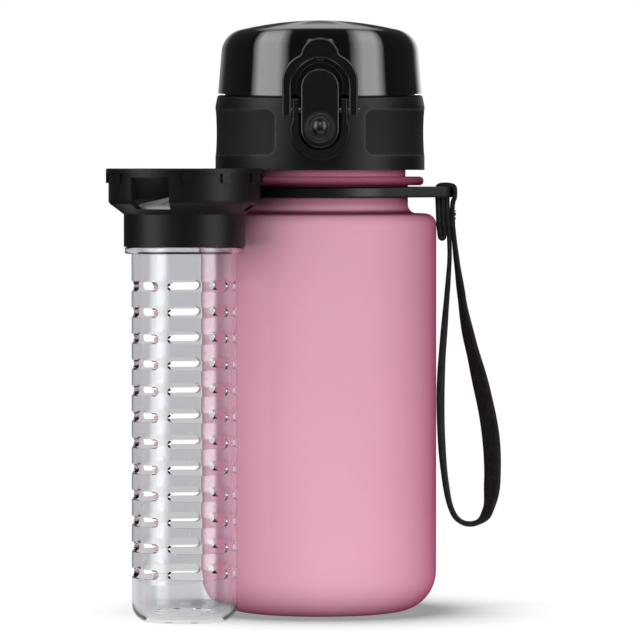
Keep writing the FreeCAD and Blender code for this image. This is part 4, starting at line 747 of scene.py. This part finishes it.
sweep.steps = sweep.render_steps = tube["steps"]
sweep.use_merge_vertices = True
sweep.merge_threshold = weldGap
bpy.ops.object.modifier_apply(modifier="sweep")
closeHoles(basket, 0)  # the middle of the floor, above and below

bpy.ops.object.select_all(action="DESELECT")
bpy.ops.mesh.primitive_cylinder_add(
    vertices=slot["corners"],
    radius=slot["opening"] / 2 * mm,
    depth=slot["cutLength"] * mm,
    location=(slot["cutMiddle"] * mm, 0, 0),
    rotation=(0, math.pi / 2, 0),
)
cutter = bpy.context.object
bpy.ops.object.transform_apply()
for vertex in cutter.data.vertices:  # drawn out sideways into a slot with round ends
    if abs(vertex.co.y) > weldGap:
        vertex.co.y += math.copysign(slot["half"] - slot["opening"] / 2, vertex.co.y) * mm
cutters = []
for level in range(slot["levels"]):
    for side in range(slot["round"]):
        up = (slot["first"] + slot["pitch"] * level) * mm
        turn = math.radians(slot["bearing"] + 360 / slot["round"] * side)
        cutters.append(copyTo(cutter, (0, 0, up), (0, 0, turn)))
bpy.data.objects.remove(cutter)
bpy.ops.object.select_all(action="DESELECT")
bpy.ops.mesh.primitive_cube_add(size=mm)
cutter = bpy.context.object
cutter.scale = (drain["outer"] - drain["inner"], 2 * drain["half"], drain["depth"])
cutter.location.x = (drain["outer"] + drain["inner"]) / 2 * mm
bpy.ops.object.transform_apply()
for number in range(drain["count"]):
    cutters.append(copyTo(cutter, (0, 0, 0), (0, 0, math.tau / drain["count"] * number)))
bpy.data.objects.remove(cutter)
cutter = joinCopies(cutters)
pick(basket)
cut = basket.modifiers.new("slots", "BOOLEAN")
cut.operation = "DIFFERENCE"
cut.object = cutter
cut.solver = "EXACT"
bpy.ops.object.modifier_apply(modifier="slots")
bpy.data.objects.remove(cutter)
basket.rotation_euler.z = math.radians(tube["turn"])
basket.location = (tube["place"][0] * mm, tube["place"][1] * mm, 0)
bpy.ops.object.transform_apply()
bpy.ops.object.shade_smooth_by_angle(angle=math.radians(tube["crease"]))
basket.data.materials.clear()
basket.data.materials.append(clearPlastic)
basket.visible_shadow = False  # clear, so the light goes through it
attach(basket, "infuser_basket")
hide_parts("infuser_tube")
print("infuser tube:", len(basket.data.polygons), "faces")

# strap: flat webbing swept along smooth lines. The profile is half the section, as shares of its
# half width and half thickness.
strap = {
    "width": 6.0,
    "thickness": 1.3,
    "smoothness": 14,
    "crease": 40,
    "profileShares": [
        (-1, 0.35), (-0.96, 0.75), (-0.86, 1), (-0.45, 1), (0, 1),
        (0.45, 1), (0.86, 1), (0.96, 0.75), (1, 0.35),
    ],
}


def smoothLine(name, route):
    curve = bpy.data.curves.new(name, "CURVE")
    curve.dimensions = "3D"
    spline = curve.splines.new("NURBS")
    spline.points.add(len(route) - 1)
    for point, (across, up) in zip(spline.points, route):
        point.co = (across * mm, 0, up * mm, 1)
    spline.order_u = 3
    spline.use_endpoint_u = True
    curve.resolution_u = strap["smoothness"]
    holder = bpy.data.objects.new(name, curve)
    scene.collection.objects.link(holder)
    bpy.context.view_layer.update()
    mesh = bpy.data.meshes.new_from_object(holder.evaluated_get(bpy.context.evaluated_depsgraph_get()))
    line = [vertex.co.copy() for vertex in mesh.vertices]
    bpy.data.objects.remove(holder)
    bpy.data.meshes.remove(mesh)
    return line


def sweepWebbing(name, lines, tilts):
    verts, faces, chart = [], [], []
    half = strap["profileShares"]
    outline = half + [(across, -through) for across, through in reversed(half)]
    count = len(outline)
    halfWidth, halfThickness = strap["width"] / 2, strap["thickness"] / 2
    side = Vector((0, 1, 0))
    for line, tilt in zip(lines, tilts):
        first, run = len(verts), 0.0
        for index, point in enumerate(line):
            heading = (line[min(index + 1, len(line) - 1)] - line[max(index - 1, 0)]).normalized()
            place = index / (len(line) - 1) * (len(tilt) - 1)
            low = min(int(place), len(tilt) - 2)
            share = place - low
            share = share * share * (3 - 2 * share)  # eases from one tilt to the next
            turn = math.radians(tilt[low] * (1 - share) + tilt[low + 1] * share)
            face = heading.cross(side).normalized()
            wide = side * math.cos(turn) + face * math.sin(turn)
            thick = heading.cross(wide).normalized()
            if index:
                run += (point - line[index - 1]).length
            for step, (across, through) in enumerate(outline):
                offset = wide * across * halfWidth + thick * through * halfThickness
                verts.append(point + offset * mm)
                # the back's ribs lie between the front's
                shift = weave["row"] / 2 if step >= count / 2 else 0
                chart.append((run / mm, (across + 1) * halfWidth + shift))
        for ring in range(len(line) - 1):
            for step in range(count):
                a, b = first + ring * count + step, first + ring * count + (step + 1) % count
                faces.append((a, b, b + count, a + count))
        faces.append(tuple(range(first + count - 1, first - 1, -1)))
        last = first + (len(line) - 1) * count
        faces.append(tuple(range(last, last + count)))
    mesh = bpy.data.meshes.new(name)
    mesh.from_pydata(verts, [], faces)
    layer = mesh.uv_layers.new(name="weave")
    for loop in mesh.loops:
        layer.data[loop.index].uv = chart[loop.vertex_index]
    piece = bpy.data.objects.new(name, mesh)
    scene.collection.objects.link(piece)
    pick(piece)
    bpy.ops.object.mode_set(mode="EDIT")
    bpy.ops.mesh.select_all(action="SELECT")
    bpy.ops.mesh.normals_make_consistent(inside=False)
    bpy.ops.object.mode_set(mode="OBJECT")
    bpy.ops.object.shade_smooth_by_angle(angle=math.radians(strap["crease"]))
    mesh.materials.append(webbingBlack)
    return piece


# hanging loop: its route across and up, and how far it tilts at each point
hanging = {
    "route": [
        (37.2, 110.2), (37.6, 104.0), (37.1, 96.0), (36.1, 84.0), (34.8, 67.0), (34.9, 52.0), (35.9, 39.0),
        (37.8, 28.6), (41.1, 25.0), (45.7, 25.0), (49.0, 28.6), (50.1, 38.5), (49.5, 52.0), (46.1, 67.5),
        (42.1, 82.5), (40.2, 96.0), (39.1, 104.0), (38.5, 110.2),
    ],
    "tilt": [0, 2, 5, 10, 14, 12, 8, 4, 0, 0, 20, 44, 50, 44, 28, 12, 4, 0],
}
loopLine = smoothLine("loopRoute", hanging["route"])
loop = sweepWebbing("strapLoop", [loopLine], [hanging["tilt"]])
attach(loop, "strap")
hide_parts("strap_loop")

# sewn head: one end wraps the ring's bar and turns under, the other lies between
sewn = {
    "wrap": [
        (35.38, 119.5), (35.42, 115.0), (35.6, 111.6), (35.95, 109.2), (35.75, 107.6), (34.75, 107.6),
        (34.55, 109.2), (34.25, 111.6), (34.15, 115.0), (34.0, 118.6), (33.85, 121.0), (34.0, 122.8),
        (35.3, 123.15), (37.4, 123.15), (38.9, 122.7), (38.97, 120.9), (38.9, 119.3), (38.3, 118.1),
        (38.15, 114.2), (38.25, 111.8), (38.5, 110.2),
    ],
    "tail": [(36.75, 119.5), (36.8, 115.0), (36.95, 112.2), (37.2, 110.2)],
    "tilt": [0, 0],
}
headLines = [smoothLine("wrapRoute", sewn["wrap"]), smoothLine("tailRoute", sewn["tail"])]
head = sweepWebbing("strapHead", headLines, [sewn["tilt"], sewn["tilt"]])
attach(head, "strap")
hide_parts("strap_head")

# stitches on the outer face of the head, two rows and a bar: each a short run of thread whose ends
# dive into the webbing
stitch = {
    "length": 1.0,
    "pitch": 1.25,
    "radius": 0.17,
    "corners": 10,
    "dive": 0.2,
    "crease": 60,
    "face": 39.0,
    "sunk": 0.16,
    "lean": 0.06,
    "low": 110.9,
    "rows": (-1.9, 1.9),
    "count": 4,
    "bar": (-1.2, 0, 1.2),
    "barDrop": 0.3,
}
endFacing = 0.9  # a face that looks along the thread at least this much is its end
bpy.ops.object.select_all(action="DESELECT")
bpy.ops.mesh.primitive_cylinder_add(
    vertices=stitch["corners"],
    radius=stitch["radius"] * mm,
    depth=(stitch["length"] - 2 * stitch["dive"]) * mm,
)
pattern = bpy.context.object
for end in (1, -1):
    bpy.ops.object.mode_set(mode="EDIT")
    bpy.ops.mesh.select_mode(type="FACE")
    bpy.ops.mesh.select_all(action="DESELECT")
    bpy.ops.object.mode_set(mode="OBJECT")
    for face in pattern.data.polygons:
        face.select = face.normal.z * end > endFacing
    bpy.ops.object.mode_set(mode="EDIT")
    step = (-stitch["dive"] / 2 * mm, 0, end * stitch["dive"] * mm)
    bpy.ops.mesh.extrude_region_move(TRANSFORM_OT_translate={"value": step})
    bpy.ops.object.mode_set(mode="OBJECT")
bpy.ops.object.shade_smooth_by_angle(angle=math.radians(stitch["crease"]))
heights = [stitch["low"] + stitch["pitch"] * number for number in range(stitch["count"])]
places = [(row, height, 0) for row in stitch["rows"] for height in heights]
barHeight = stitch["low"] + stitch["pitch"] * stitch["count"] - stitch["barDrop"]
places += [(across, barHeight, 90) for across in stitch["bar"]]
stitches = []
for across, up, turn in places:
    out = stitch["face"] - stitch["sunk"] + (up - stitch["low"]) * stitch["lean"]
    stitches.append(copyTo(pattern, (out * mm, across * mm, up * mm), (math.radians(turn), 0, 0)))
bpy.data.objects.remove(pattern)
sewing = joinCopies(stitches)
sewing.name = "strapStitches"
sewing.data.materials.append(threadBlack)
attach(sewing, "strap")
print("strap: head, stitches and loop")
